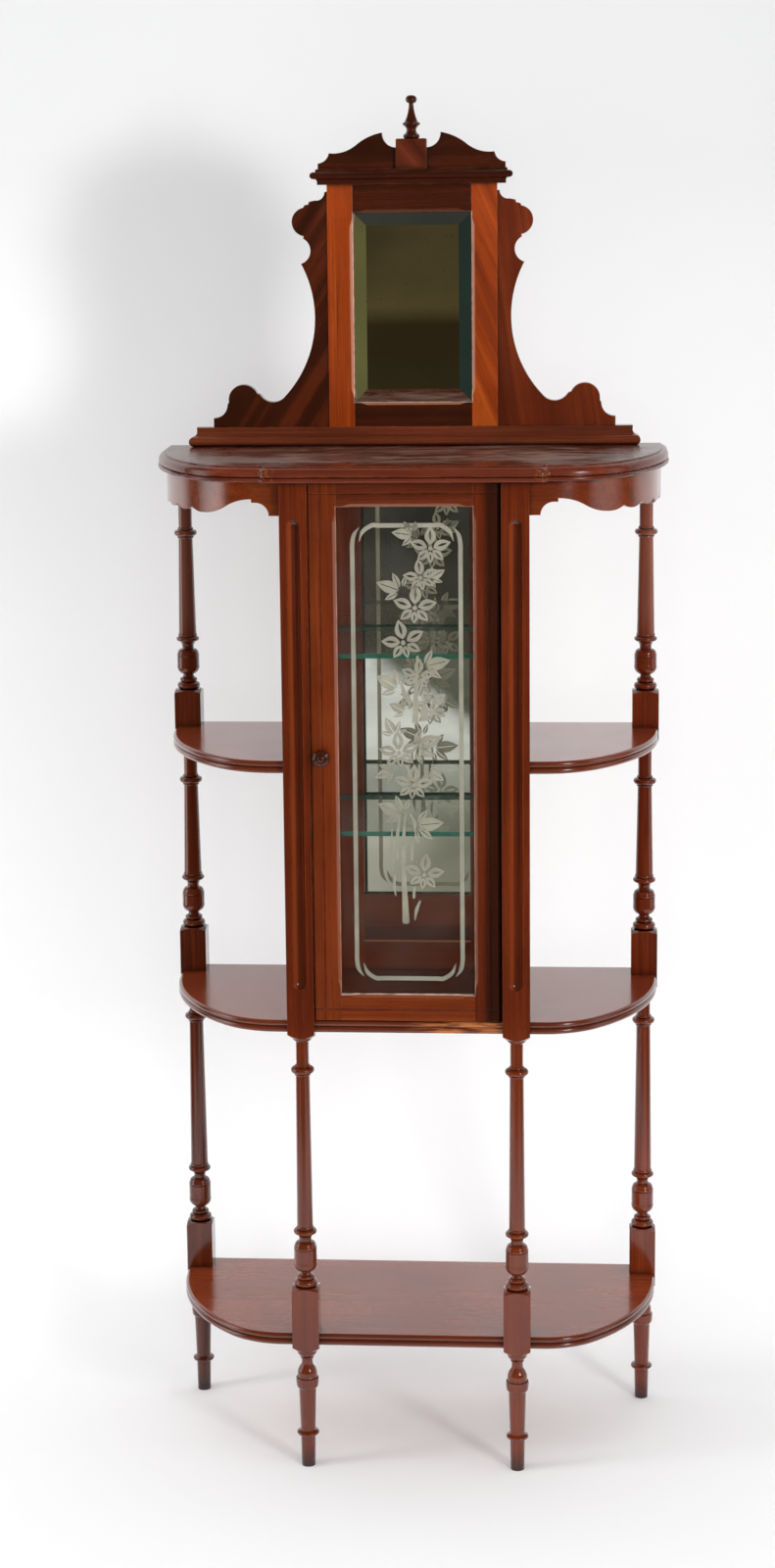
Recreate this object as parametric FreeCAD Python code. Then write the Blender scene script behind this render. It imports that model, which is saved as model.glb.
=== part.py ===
import FreeCAD, Part
import os
from math import acos, atan2, cos, pi, sin, sqrt, tan
from FreeCAD import Vector

# Curio shelf: a glazed cabinet between two turned front posts, D-ended open shelves carried to
# turned back posts, a breakfront top and a mirrored gallery above it.
# Millimetres. +Z is up, the front faces -Y, and the origin is on the floor under the middle.
# A profile is a path of (across, up) points; a third number is the sag of the arc that leads there.

# Heights: the bottom shelf above the floor, then from shelf to shelf and on to the top
bottom_shelf_top = 186.0
lower_bay = 426.0
middle_bay = 340.0
upper_bay = 355.0

# Plan of the stand, from the middle out to the ends
top_depth = 291.0
front_overhang = 18.0
back_overhang = 2.0
post_size = 35.0
front_post_x = 138.0
side_bay = 168.0
end_overhang = 10.5

# Breakfront top
top_front_straight = 3.0
top_flank = 38.0
top_end_straight = 40.0
break_return = 31.0
break_step = 9.0
break_nose = 10.0
break_hollow = 2.5
top_bead = 6.0
top_quirk = 1.5
top_quirk_inset = 3.5
top_ovolo = 10.5
top_ovolo_inset = 0.8
top_ovolo_radius = 8.0
top_field = 2.0
top_field_inset = 9.0

# Shelves
shelf_thickness = 16.0
shelf_setback = 8.0
shelf_front_return = 32.0
shelf_end_gap = 1.5
shelf_flank = 47.0
shelf_end_straight = 48.0
bead_margin = 0.1

# Square blocks of the posts
block_drop = 7.0
head_block = 51.0
upper_block = 49.0
middle_block = 60.0
lower_block = 64.0
shoulder_high = 4.5
shoulder_low = 7.0
shoulder_seat = 1.0

# Turned lengths of the posts, from the block upwards
torus_height = 9.5
torus_radius = 15.2
bead_height = 6.0
bead_radius = 11.6
waist_height = 4.5
waist_radius = 6.8
waist_hollow = 0.5
bowl_height = 13.0
bowl_swell = 3.2
urn_radius = 14.8
lip_height = 4.5
lip_radius = 14.9
lip_quirk = 0.9
neck_ease = 6.0
neck_swell = 1.8
vase_neck = 4.0
vase_neck_radius = 7.8
flare_height = 6.5
flare_hollow = 1.0
ring_height = 6.0
ring_radius = 15.2
ring_bulge = 2.6
cap_height = 4.5
cap_bulge = 1.0
upper_vase = 68.0
lower_vase = 75.0
back_taper_low = 11.7
back_taper_high = 9.4
back_neck = 9.0
front_taper_low = 10.4
front_taper_high = 9.0
front_neck = 8.3
upper_neck = 44.0
middle_neck = 53.0
lower_neck = 45.0
collar_ring = 8.0
collar_bead = 3.5
collar_bead_bulge = 1.6
cup_height = 7.0
cup_radius = 14.0
cup_swell = 1.0

# Turned feet
foot_neck_drop = 11.0
foot_neck_radius = 7.8
foot_neck_hollow = 0.6
foot_bead_height = 2.0
foot_bead_bulge = 1.0
foot_cup_swell = 1.6
foot_swell_drop = 22.0
foot_band_drop = 40.0
foot_band_height = 8.5
foot_band_radius = 14.5
foot_band_bulge = 0.6
foot_band_ease = 1.0
foot_swell_radius = 12.9
foot_swell_lip = 2.0
foot_lip_bulge = 0.3
foot_swell_bulge = 1.8
foot_shank_gap = 6.5
foot_shank_radius = 11.4
foot_ring_z = 46.0
foot_ring_height = 8.0
foot_ring_radius = 14.6
foot_ring_edge = 4.6
foot_ring_hollow = 0.3
foot_ankle = 9.7
foot_toe = 9.0
tenon_radius = 8.0
tenon_length = 12.0

# Stopped flute on each front post
flute_radius = 8.9
flute_depth = 6.0
flute_top_gap = 47.5
flute_bottom_gap = 43.0

# Scalloped aprons under the ends of the top
apron_height = 43.5
apron_thickness = 14.0
apron_setback = 10.0
apron_end_gap = 1.0
apron_flat = 13.5
apron_cavetto = 16.5
apron_lip = 5.5
apron_sweep_gap = 63.5
apron_sweep_rise = 20.7
scallop_pitch = 44.0
scallop_rise = 5.0
scallop_count = 4

# Cabinet carcase
side_thickness = 12.0
groove_depth = 6.0
back_thickness = 18.0
back_stile_width = 72.0
back_rail_low = 105.0
back_rail_high = 45.0
back_rebate = 8.0
back_lip = 8.0
end_rail_height = 40.0
mirror_thickness = 4.0
backboard_thickness = 5.0
plate_gap = 0.5
stub_tenon = 10.0
stub_thickness = 6.0
stub_margin = 9.0

# Door
door_recess = 7.0
door_thickness = 20.0
door_side_gap = 1.25
door_end_gap = 1.5
door_stile_width = 34.0
door_rail_high = 31.0
door_rail_low = 34.5
door_rebate = 8.0
door_lip = 8.0
glass_thickness = 4.0
glazing_bead_flat = 1.0
door_groove_x = 13.2
door_groove_z = 14.5
door_groove_depth = 1.0
chamfer_stop = 6.0
chamfer_run = 13.0
door_chamfer = 3.2
door_hinge_round = 6.0
pivot_edge = 8.0
pivot_face = 8.0
pivot_radius = 2.0
pivot_reach = 9.0
pivot_plate_length = 25.0
pivot_plate_width = 8.0
pivot_plate_thickness = 2.0
pivot_plate_inset = 1.0
pivot_clearance = 0.05
bush_radius = 3.0
bush_length = 11.0
bush_flange = 1.4
bush_flange_radius = 4.2
pivot_screw_places = (8.0, 13.5)
screw_radius = 1.2
screw_head_radius = 2.4
screw_length = 14.0
knob_profile = ((7.1, 0.0), (7.1, 2.6, 0.3), (5.1, 7.5, -1.0), (9.8, 13.6, -0.8), (9.0, 18.9, 1.6),
                (6.1, 20.7, 0.4), (5.1, 19.8), (1.2, 22.0, 0.5))
knob_screw_radius = 2.0
knob_screw_head = 3.0
knob_screw_head_radius = 4.0
knob_screw_grip = 11.0
catch_edge = 59.25
catch_length = 36.0
catch_depth = 12.0
catch_height = 12.0
catch_gap = 0.3
strike_length = 22.0
strike_height = 9.0
strike_drop = 1.0
strike_thickness = 1.0

# Loose glass shelves on pins
glass_shelf_thickness = 6.0
lower_glass_rise = 243.0
upper_glass_drop = 222.0
glass_side_gap = 1.5
glass_front_gap = 1.5
glass_back_gap = 2.0
pin_radius = 2.5
pin_length = 20.0
pin_inset = 35.0

# Mirrored gallery
gallery_back_gap = 1.0
frame_thickness = 18.0
base_height = 25.0
base_end_gap = 36.4
base_projection = 10.0
base_profile = ((5.5, 0.0), (5.5, 13.0, -5.5), (6.5, 13.5), (10.0, 21.0, 1.4), (10.0, base_height))
frame_height = 315.0
frame_half_width = 111.0
frame_stile_width = 33.5
frame_rail_high = 36.0
frame_rail_low = 32.0
frame_rebate = 7.0
frame_lip = 7.0
frame_chamfer = 3.0
bevel_width = 17.0
bevel_drop = 1.8
bevel_edge = 2.2
cornice_height = 20.0
cornice_overhang = 21.0
cornice_profile = ((9.5, 0.0), (9.5, 4.0), (5.0, 7.5, 1.2), (5.0, 16.5, -4.4), (7.5, 17.0),
                   (7.5, cornice_height))
bracket_thickness = 14.0
bracket_reach = 154.0
bracket_drop = 9.0
bracket_head = ((3.0, 0.0), (16.0, -11.0, 4.0), (23.5, -12.5), (24.5, -16.0), (30.0, -17.0), (31.0, -20.0),
                (31.0, -57.0, -15.5), (32.0, -60.0), (35.0, -92.5, 11.0))
bracket_foot = ((-93.0, 38.0, 29.0), (-62.0, 43.0, 7.5), (-58.0, 44.5), (-20.5, 33.0, -17.0), (-18.5, 30.0),
                (0.0, 12.0, 5.5), (0.0, 0.0))
pediment_thickness = 14.0
pediment_back_gap = 6.0
pediment_end_gap = 11.0
pediment_tail = ((0.0, 0.0), (0.0, 7.5), (-14.5, 20.5, -3.5))
pediment_horn = ((52.0, 30.5, -3.8), (18.0, 46.0, 2.4), (3.0, 27.0, -4.5), (0.0, 26.5))
block_width = 40.0
block_depth = 26.0
block_height = 38.0
block_chamfer = 1.2
finial_profile = ((8.6, 0.0), (8.6, 6.0, 2.2), (6.2, 11.0, -0.6), (8.6, 15.0, -0.6), (9.6, 16.5),
                  (9.6, 20.5, 2.0), (8.4, 22.0), (3.1, 44.5, -1.2), (4.4, 45.0), (1.0, 55.0, 4.6))
finial_tenon_radius = 4.0
finial_tenon_length = 14.0

# Dowels and fixing screws
dowel_radius = 4.0
dowel_length = 30.0
fixing_radius = 2.2
fixing_head = 4.4
fixing_length = 38.0
fixing_sink = 6.0
fixing_inner = 90.0
fixing_end_gap = 57.6

# Slack for picking edges by their place
tiny = 1e-6

# Heights and faces that follow from the sizes above
cabinet_floor_top = bottom_shelf_top + lower_bay
side_shelf_top = cabinet_floor_top + middle_bay
top_underside = side_shelf_top + upper_bay
top_thickness = top_bead + top_quirk + top_ovolo + top_field
half_post = post_size / 2
half_depth = top_depth / 2
back_post_x = front_post_x + side_bay
top_half_width = back_post_x + half_post + end_overhang
break_half = front_post_x + break_return
break_angle = acos(1 - break_step / (break_nose + break_hollow))
break_run = (break_nose + break_hollow) * sin(break_angle)
top_front_half = break_half + break_run + top_front_straight
top_corner_radius = top_half_width - top_front_half - top_flank
back_post_y = half_depth - back_overhang - half_post
front_post_y = -half_depth + front_overhang + half_post
post_face = front_post_y - half_post
carcase_back = back_post_y + half_post
shelf_front = post_face + shelf_setback
shelf_half = back_post_x + half_post - shelf_end_gap
shelf_front_half = front_post_x + shelf_front_return
shelf_corner_radius = shelf_half - shelf_front_half - shelf_flank
apron_half = back_post_x + half_post - apron_end_gap
top_z = top_underside + top_thickness
base_z = top_z + base_height
frame_z = base_z + frame_height
cornice_z = frame_z + cornice_height
block_z = cornice_z + block_height
gallery_back = half_depth - gallery_back_gap
frame_front = gallery_back - frame_thickness
frame_middle = gallery_back - frame_thickness / 2
side_inner = front_post_x - side_thickness / 2
side_outer = front_post_x + side_thickness / 2
back_front = carcase_back - back_thickness
door_front = post_face + door_recess
door_back = door_front + door_thickness
door_half = front_post_x - half_post - door_side_gap
door_bottom = cabinet_floor_top + door_end_gap
door_top = top_underside - door_end_gap
knob_z = (door_bottom + door_top) / 2
catch_x = catch_edge - door_half
lower_glass_top = cabinet_floor_top + lower_glass_rise
upper_glass_top = top_underside - upper_glass_drop
glass_front = front_post_y + half_post + glass_front_gap
glass_back = back_front - glass_back_gap
base_half_width = top_half_width - base_end_gap
fixing_places = (fixing_inner, base_half_width - fixing_end_gap)
pivot_x = door_half - pivot_edge
pivot_y = door_front + pivot_face


def box(x0, x1, y0, y1, z0, z1):
    """Box between two corners."""
    return Part.makeBox(x1 - x0, y1 - y0, z1 - z0, Vector(x0, y0, z0))


def rod(x, y, z, radius, length, way=Vector(0, 0, 1)):
    """Cylinder that starts at a point and runs along a direction."""
    return Part.makeCylinder(radius, length, Vector(x, y, z), way)


def mirrored(shape):
    """The same shape on the other side of the middle plane."""
    return shape.mirror(Vector(0, 0, 0), Vector(1, 0, 0))


def path_edges(start, steps, place):
    """Edges through steps: (u, v) is a line, (u, v, sag) an arc bulging to the right of travel."""
    edges = []
    here = start
    for step in steps:
        there = step[:2]
        run = (there[0] - here[0], there[1] - here[1])
        length = sqrt(run[0] ** 2 + run[1] ** 2)
        if len(step) == 2:
            edges.append(Part.LineSegment(place(*here), place(*there)).toShape())
        else:
            middle_u = (here[0] + there[0]) / 2 + step[2] * run[1] / length
            middle_v = (here[1] + there[1]) / 2 - step[2] * run[0] / length
            edges.append(Part.Arc(place(*here), place(middle_u, middle_v), place(*there)).toShape())
        here = there
    return edges


def outline_face(start, steps, place):
    """Closed flat face from a path, closed with a straight line where its ends are apart."""
    last = steps[-1][:2]
    if last != start:
        steps = list(steps) + [start]
    return Part.Face(Part.Wire(path_edges(start, steps, place)))


def board_xz(start, steps, y0, y1):
    """Flat board cut to an outline in X and Z, standing between two Y faces."""
    face = outline_face(start, steps, lambda u, v: Vector(u, y0, v))
    return face.extrude(Vector(0, y1 - y0, 0))


def turned(x, y, start, steps):
    """Solid of revolution about an upright axis, from a profile of radius and height."""
    profile = [start] + list(steps) + [(0.0, steps[-1][1])]
    first = (0.0, start[1])
    face = outline_face(first, profile, lambda u, v: Vector(x + u, y, v))
    return face.revolve(Vector(x, y, 0), Vector(0, 0, 1), 360)


def end_curve(half_width, front, back, front_half, radius, straight, inset):
    """Right-hand D end in plan: front corner arc, flatter end arc and short straight to the back."""
    a = half_width - front_half
    b = back - straight - front
    large = (a * a + b * b - 2 * b * radius) / (2 * (a - radius))
    near = Vector(front_half, front + radius, 0)
    far = Vector(half_width - large, back - straight, 0)
    turn = atan2(near.y - far.y, near.x - far.x)
    small = radius - inset
    great = large - inset

    def on(centre, r, angle):
        return Vector(centre.x + r * cos(angle), centre.y + r * sin(angle), 0)

    middle = (turn - pi / 2) / 2
    corner = Part.Arc(on(near, small, -pi / 2), on(near, small, middle), on(near, small, turn))
    flank = Part.Arc(on(far, great, turn), on(far, great, turn / 2), on(far, great, 0))
    side = Part.LineSegment(on(far, great, 0), Vector(half_width - inset, back, 0))
    return [corner.toShape(), flank.toShape(), side.toShape()]


def plan_face(right_edges):
    """Face in plan from the right-hand half of an outline, mirrored and closed along the back."""
    left_edges = [mirrored(edge) for edge in right_edges]
    corner = right_edges[-1].Vertexes[-1].Point
    other = Vector(-corner.x, corner.y, 0)
    edges = right_edges + left_edges + [Part.LineSegment(corner, other).toShape()]
    return Part.Face(Part.Wire(Part.__sortEdges__(edges)))


def shelf_edges(inset):
    """Right-hand half of the shelf outline."""
    y = shelf_front + inset
    front = Part.LineSegment(Vector(0, y, 0), Vector(shelf_front_half, y, 0))
    ends = end_curve(shelf_half, shelf_front, carcase_back, shelf_front_half, shelf_corner_radius,
                     shelf_end_straight, inset)
    return [front.toShape()] + ends


def top_edges(inset):
    """Right-hand half of the breakfront outline of the top: nose, hollow and D end."""
    front = -half_depth
    nose = break_nose - inset
    hollow = break_hollow + inset
    near = Vector(break_half, front + break_nose, 0)
    far = Vector(break_half + break_run, front + break_step - break_hollow, 0)

    def leaving(a):
        return Vector(near.x + nose * sin(a), near.y - nose * cos(a), 0)

    def joining(a):
        return Vector(far.x - hollow * sin(a), far.y + hollow * cos(a), 0)

    straight = Part.LineSegment(Vector(0, front + inset, 0), leaving(0))
    out_arc = Part.Arc(leaving(0), leaving(break_angle / 2), leaving(break_angle))
    in_arc = Part.Arc(joining(break_angle), joining(break_angle / 2), joining(0))
    side = Part.LineSegment(joining(0), Vector(top_front_half, front + break_step + inset, 0))
    ends = end_curve(top_half_width, front + break_step, half_depth, top_front_half, top_corner_radius,
                     top_end_straight, inset)
    return [straight.toShape(), out_arc.toShape(), in_arc.toShape(), side.toShape()] + ends


def slab(face, z0, z1, top_round=0.0, bottom_round=0.0):
    """Slab of a plan face with its front and end arrises rounded, and its back left square."""
    solid = face.extrude(Vector(0, 0, z1 - z0))
    back = solid.BoundBox.YMax
    for height, radius in ((z1 - z0, top_round), (0.0, bottom_round)):
        if radius:
            arris = [e for e in solid.Edges
                     if abs(e.BoundBox.ZMin - height) < tiny and abs(e.BoundBox.ZMax - height) < tiny
                     and e.BoundBox.YMin < back - tiny]
            solid = solid.makeFillet(radius, arris)
    solid.translate(Vector(0, 0, z0))
    return solid


def joined(shapes):
    """One solid from pieces of one workpiece that touch or run into each other."""
    return shapes[0].multiFuse(shapes[1:]).removeSplitter()


def moved(steps, u, v):
    """Path steps shifted to a new starting point."""
    return [(u + step[0], v + step[1]) + step[2:] for step in steps]


def countersunk(start, way, radius, head_radius, length):
    """Screw with a 45-degree countersunk head, from the face of its head along a direction."""
    head = Part.makeCone(head_radius, radius, head_radius - radius, start, way)
    return joined([head, Part.makeCylinder(radius, length, start, way)])


def mitred_block(half_width, front, back, profile, z0):
    """Block moulded along its front and both ends; the profile gives inset and height."""
    start, steps = profile[0], list(profile[1:])
    top = steps[-1][1]
    depth = back - front
    face = outline_face(start, steps + [(depth, top), (depth, start[1])],
                        lambda u, v: Vector(-half_width, front + u, z0 + v))
    long_bar = face.extrude(Vector(2 * half_width, 0, 0))
    steps += [(half_width, top), (half_width, start[1])]
    right = outline_face(start, steps, lambda u, v: Vector(half_width - u, front, z0 + v))
    cross = right.extrude(Vector(0, depth, 0))
    return long_bar.common(joined([cross, mirrored(cross)]))


def stopped_chamfer(corner, along, outward, length, depth):
    """Cutter for a 45-degree chamfer on an arris, running out gently at both ends."""
    across = along.cross(outward)
    reach = 3 * depth
    points = [(0.0, reach), (0.0, 0.0), (chamfer_run, -depth), (length - chamfer_run, -depth), (length, 0.0),
              (length, reach)]
    corners = [corner + along * u + outward * v - across * reach for u, v in points]
    return Part.Face(Part.makePolygon(corners + corners[:1])).extrude(across * 2 * reach)


# Turned posts

def spindle(low, high, neck, vase, taper_low, taper_high, neck_radius):
    """Profile steps of one turned length: torus, bead, urn, ring, taper, collar, neck and cup."""
    body = vase - ring_height / 2 - flare_height - vase_neck - neck_ease - lip_height
    waist = low + torus_height + bead_height
    bowl = waist + waist_height
    lip = low + body
    ease = lip + lip_height
    flare = ease + neck_ease + vase_neck
    ring = flare + flare_height
    collar = high - neck
    torus_seat = torus_radius - torus_height / 2
    bead_seat = bead_radius - bead_height / 2
    ring_seat = ring_radius - ring_bulge
    collar_seat = ring_radius - collar_ring / 2
    half_collar = collar_ring / 2
    return [(torus_seat, low), (torus_seat, low + torus_height, torus_height / 2),
            (bead_seat, low + torus_height), (bead_seat, waist, bead_height / 2),
            (waist_radius, bowl, -waist_hollow), (urn_radius, bowl + bowl_height, bowl_swell),
            (urn_radius, lip), (lip_radius - lip_quirk, lip), (lip_radius - lip_quirk, ease, lip_quirk),
            (vase_neck_radius, ease + neck_ease, neck_swell), (vase_neck_radius, flare),
            (ring_seat, ring, -flare_hollow), (ring_seat, ring + ring_height, ring_bulge),
            (taper_low, ring + ring_height), (taper_low, ring + ring_height + cap_height, cap_bulge),
            (taper_high, collar - half_collar - collar_bead),
            (taper_high, collar - half_collar, collar_bead_bulge), (collar_seat, collar - half_collar),
            (collar_seat, collar + half_collar, half_collar), (neck_radius, collar + half_collar),
            (neck_radius, collar + half_collar + collar_bead, collar_bead_bulge),
            (neck_radius, high - cup_height), (cup_radius, high, cup_swell)]


def foot(block_low):
    """Profile steps of a turned foot, from the floor up to the block above it."""
    ring_low = foot_ring_z - foot_ring_height / 2
    ring_high = foot_ring_z + foot_ring_height / 2
    edge = foot_ring_edge / 2
    ring_seat = foot_ring_radius - edge
    neck = block_low - foot_neck_drop
    band_top = block_low - foot_band_drop
    band_low = band_top - foot_band_height
    return [(foot_toe, 0.0), (foot_ankle, ring_low), (ring_seat, foot_ring_z - edge, -foot_ring_hollow),
            (ring_seat, foot_ring_z + edge, edge), (foot_ankle, ring_high, -foot_ring_hollow),
            (foot_shank_radius, band_low - foot_shank_gap), (foot_band_radius, band_low, foot_band_ease),
            (foot_band_radius, band_top, foot_band_bulge), (foot_swell_radius, band_top),
            (foot_swell_radius, band_top + foot_swell_lip, foot_lip_bulge),
            (foot_neck_radius, block_low - foot_swell_drop, foot_swell_bulge),
            (foot_neck_radius, neck - foot_bead_height, -foot_neck_hollow),
            (foot_neck_radius, neck, foot_bead_bulge), (cup_radius, block_low, foot_cup_swell)]


def square_block(x, y, z0, z1, turned_top=True):
    """Square length of a post whose corners are turned down to shoulders at its ends."""
    corner = half_post * sqrt(2) + shoulder_seat
    seat = half_post - shoulder_seat
    profile = [(corner, z0 + shoulder_low)]
    if turned_top:
        profile += [(corner, z1 - shoulder_high), (seat, z1)]
    else:
        profile += [(corner, z1)]
    block = box(x - half_post, x + half_post, y - half_post, y + half_post, z0, z1)
    return block.common(turned(x, y, (seat, z0), profile))


def block_bottom(shelf_top):
    """Underside of the square block that carries a shelf."""
    return shelf_top - shelf_thickness - block_drop


def dowel_places():
    """Point and direction of each dowel between a post and a shelf, at the joint face."""
    places = []
    for shelf in (bottom_shelf_top, cabinet_floor_top, side_shelf_top):
        z = shelf - shelf_thickness / 2
        for s in (-1, 1):
            places.append((Vector(s * (back_post_x - half_post), back_post_y, z), Vector(s, 0, 0)))
            if shelf < side_shelf_top:
                places.append((Vector(s * front_post_x, front_post_y + half_post, z), Vector(0, 1, 0)))
            else:
                places.append((Vector(s * (front_post_x + half_post), front_post_y, z), Vector(s, 0, 0)))
    return places


def dowel_pegs():
    """All the shelf dowels, each half in the post and half in the shelf."""
    pegs = []
    for point, way in dowel_places():
        start = point - way * (dowel_length / 2)
        pegs.append(Part.makeCylinder(dowel_radius, dowel_length, start, way))
    return pegs


def post_tenon(x, y):
    """Round tenon on a post's head."""
    return rod(x, y, top_underside, tenon_radius, tenon_length)


def back_post():
    """Right-hand back post: foot, three turned lengths and four square blocks."""
    x, y = back_post_x, back_post_y
    low = block_bottom(bottom_shelf_top)
    middle = block_bottom(cabinet_floor_top)
    upper = block_bottom(side_shelf_top)
    head = top_underside - head_block
    steps = foot(low)
    for start, end, neck, vase in ((bottom_shelf_top + lower_block, middle, lower_neck, lower_vase),
                                   (cabinet_floor_top + middle_block, upper, middle_neck, upper_vase),
                                   (side_shelf_top + upper_block, head, upper_neck, upper_vase)):
        steps += spindle(start, end, neck, vase, back_taper_low, back_taper_high, back_neck)
    stick = turned(x, y, steps[0], steps[1:])
    blocks = [square_block(x, y, low, bottom_shelf_top + lower_block),
              square_block(x, y, middle, cabinet_floor_top + middle_block),
              square_block(x, y, upper, side_shelf_top + upper_block),
              square_block(x, y, head, top_underside, turned_top=False)]
    return joined([stick, post_tenon(x, y)] + blocks).cut(dowel_pegs())


def front_post():
    """Right-hand front post: turned leg below, square fluted cabinet stile above."""
    x, y = front_post_x, front_post_y
    low = block_bottom(bottom_shelf_top)
    stile = block_bottom(cabinet_floor_top)
    steps = foot(low) + spindle(bottom_shelf_top + lower_block, stile, lower_neck, lower_vase,
                                front_taper_low, front_taper_high, front_neck)
    stick = turned(x, y, steps[0], steps[1:])
    blocks = [square_block(x, y, low, bottom_shelf_top + lower_block),
              square_block(x, y, stile, top_underside, turned_top=False)]
    post = joined([stick, post_tenon(x, y)] + blocks).cut(dowel_pegs())
    axis_y = post_face - flute_radius + flute_depth
    flute_low = cabinet_floor_top + flute_bottom_gap + flute_radius
    flute_high = top_underside - flute_top_gap - flute_radius
    flute = joined([rod(x, axis_y, flute_low, flute_radius, flute_high - flute_low),
                    Part.makeSphere(flute_radius, Vector(x, axis_y, flute_low)),
                    Part.makeSphere(flute_radius, Vector(x, axis_y, flute_high))])
    groove = box(side_inner, side_outer, y + half_post - groove_depth, y + half_post,
                 cabinet_floor_top, top_underside)
    return post.cut([flute, groove])


# Shelves and top

def shelf_blank(top):
    """Full D-ended shelf with a reeded edge of two beads."""
    bead = shelf_thickness / 2
    face = plan_face(shelf_edges(0.0))
    layers = []
    for i in range(2):
        z = top - shelf_thickness + i * bead
        layers.append(slab(face, z, z + bead, bead / 2 - bead_margin, bead / 2 - bead_margin))
    return joined(layers)


def post_notches(z0, z1):
    """Square lengths that all four posts take out of a shelf."""
    notches = []
    for s in (-1, 1):
        for x, y in ((back_post_x, back_post_y), (front_post_x, front_post_y)):
            notches.append(box(s * x - half_post, s * x + half_post, y - half_post, y + half_post, z0, z1))
    return notches


def full_shelf(top):
    """Shelf across the whole stand, notched for the posts and bored for their dowels."""
    notches = post_notches(top - 2 * shelf_thickness, top + shelf_thickness)
    return shelf_blank(top).cut(notches + dowel_pegs())


def side_shelf():
    """Right-hand shelf between the cabinet side and the back post."""
    top = side_shelf_top
    low, high = top - 2 * shelf_thickness, top + shelf_thickness
    cabinet = box(-top_half_width, side_outer, -top_depth, top_depth, low, high)
    notches = post_notches(low, high)
    return shelf_blank(top).cut([cabinet] + notches + dowel_pegs())


def fixing_screws():
    """Screws up through the top into the gallery base, heads sunk in the underside."""
    screws = []
    for place in fixing_places:
        for s in (-1, 1):
            start = Vector(s * place, frame_middle, top_underside + fixing_sink)
            screws.append(countersunk(start, Vector(0, 0, 1), fixing_radius, fixing_head,
                                      fixing_length - fixing_sink))
    return screws


def top_board():
    """Breakfront top: bead, quirk, ovolo and raised field, bored for posts, pivot and screws."""
    z = top_underside
    quirk_z = z + top_bead
    ovolo_z = quirk_z + top_quirk
    field_z = ovolo_z + top_ovolo
    bead_round = top_bead / 2 - bead_margin
    layers = [slab(plan_face(top_edges(0.0)), z, quirk_z, bead_round, bead_round),
              slab(plan_face(top_edges(top_quirk_inset)), quirk_z, ovolo_z),
              slab(plan_face(top_edges(top_ovolo_inset)), ovolo_z, field_z, top_ovolo_radius),
              slab(plan_face(top_edges(top_field_inset)), field_z, z + top_thickness)]
    board = joined(layers)
    bores = [rod(pivot_x, pivot_y, z, bush_radius, bush_length)]
    for s in (-1, 1):
        bores.append(post_tenon(s * back_post_x, back_post_y))
        bores.append(post_tenon(s * front_post_x, front_post_y))
    for place in fixing_places:
        for s in (-1, 1):
            bores.append(rod(s * place, frame_middle, z, fixing_head, fixing_sink))
    return board.cut(bores + fixing_screws())


# Aprons

def apron_edges(inset):
    """Right-hand half of the apron outline in plan, from the front post round to the back post."""
    front = post_face + apron_setback
    y = front + inset
    start = Part.LineSegment(Vector(front_post_x + half_post, y, 0), Vector(shelf_front_half, y, 0))
    ends = end_curve(apron_half, front, back_post_y - half_post, shelf_front_half, shelf_corner_radius,
                     shelf_end_straight - post_size, inset)
    return [start.toShape()] + ends


def scallop_cutter(point, normal):
    """Cutter for the cusp between two scallops: two hollow flanks that meet in a point."""
    along = Vector(0, 0, 1).cross(normal)
    half = scallop_pitch / 2
    radius = (half ** 2 + scallop_rise ** 2) / (2 * scallop_rise)
    quarter = radius - sqrt(radius ** 2 - (half / 2) ** 2)
    sag = quarter - scallop_rise / 2
    sag = -sag * half / sqrt(half ** 2 + scallop_rise ** 2)
    steps = [(half, -scallop_rise), (half, 0.0), (0.0, scallop_rise, -sag), (-half, 0.0, -sag)]

    def place(u, v):
        return point + along * u + Vector(0, 0, v) - normal * 2 * apron_thickness

    return outline_face((-half, -scallop_rise), steps, place).extrude(normal * 4 * apron_thickness)


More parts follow.
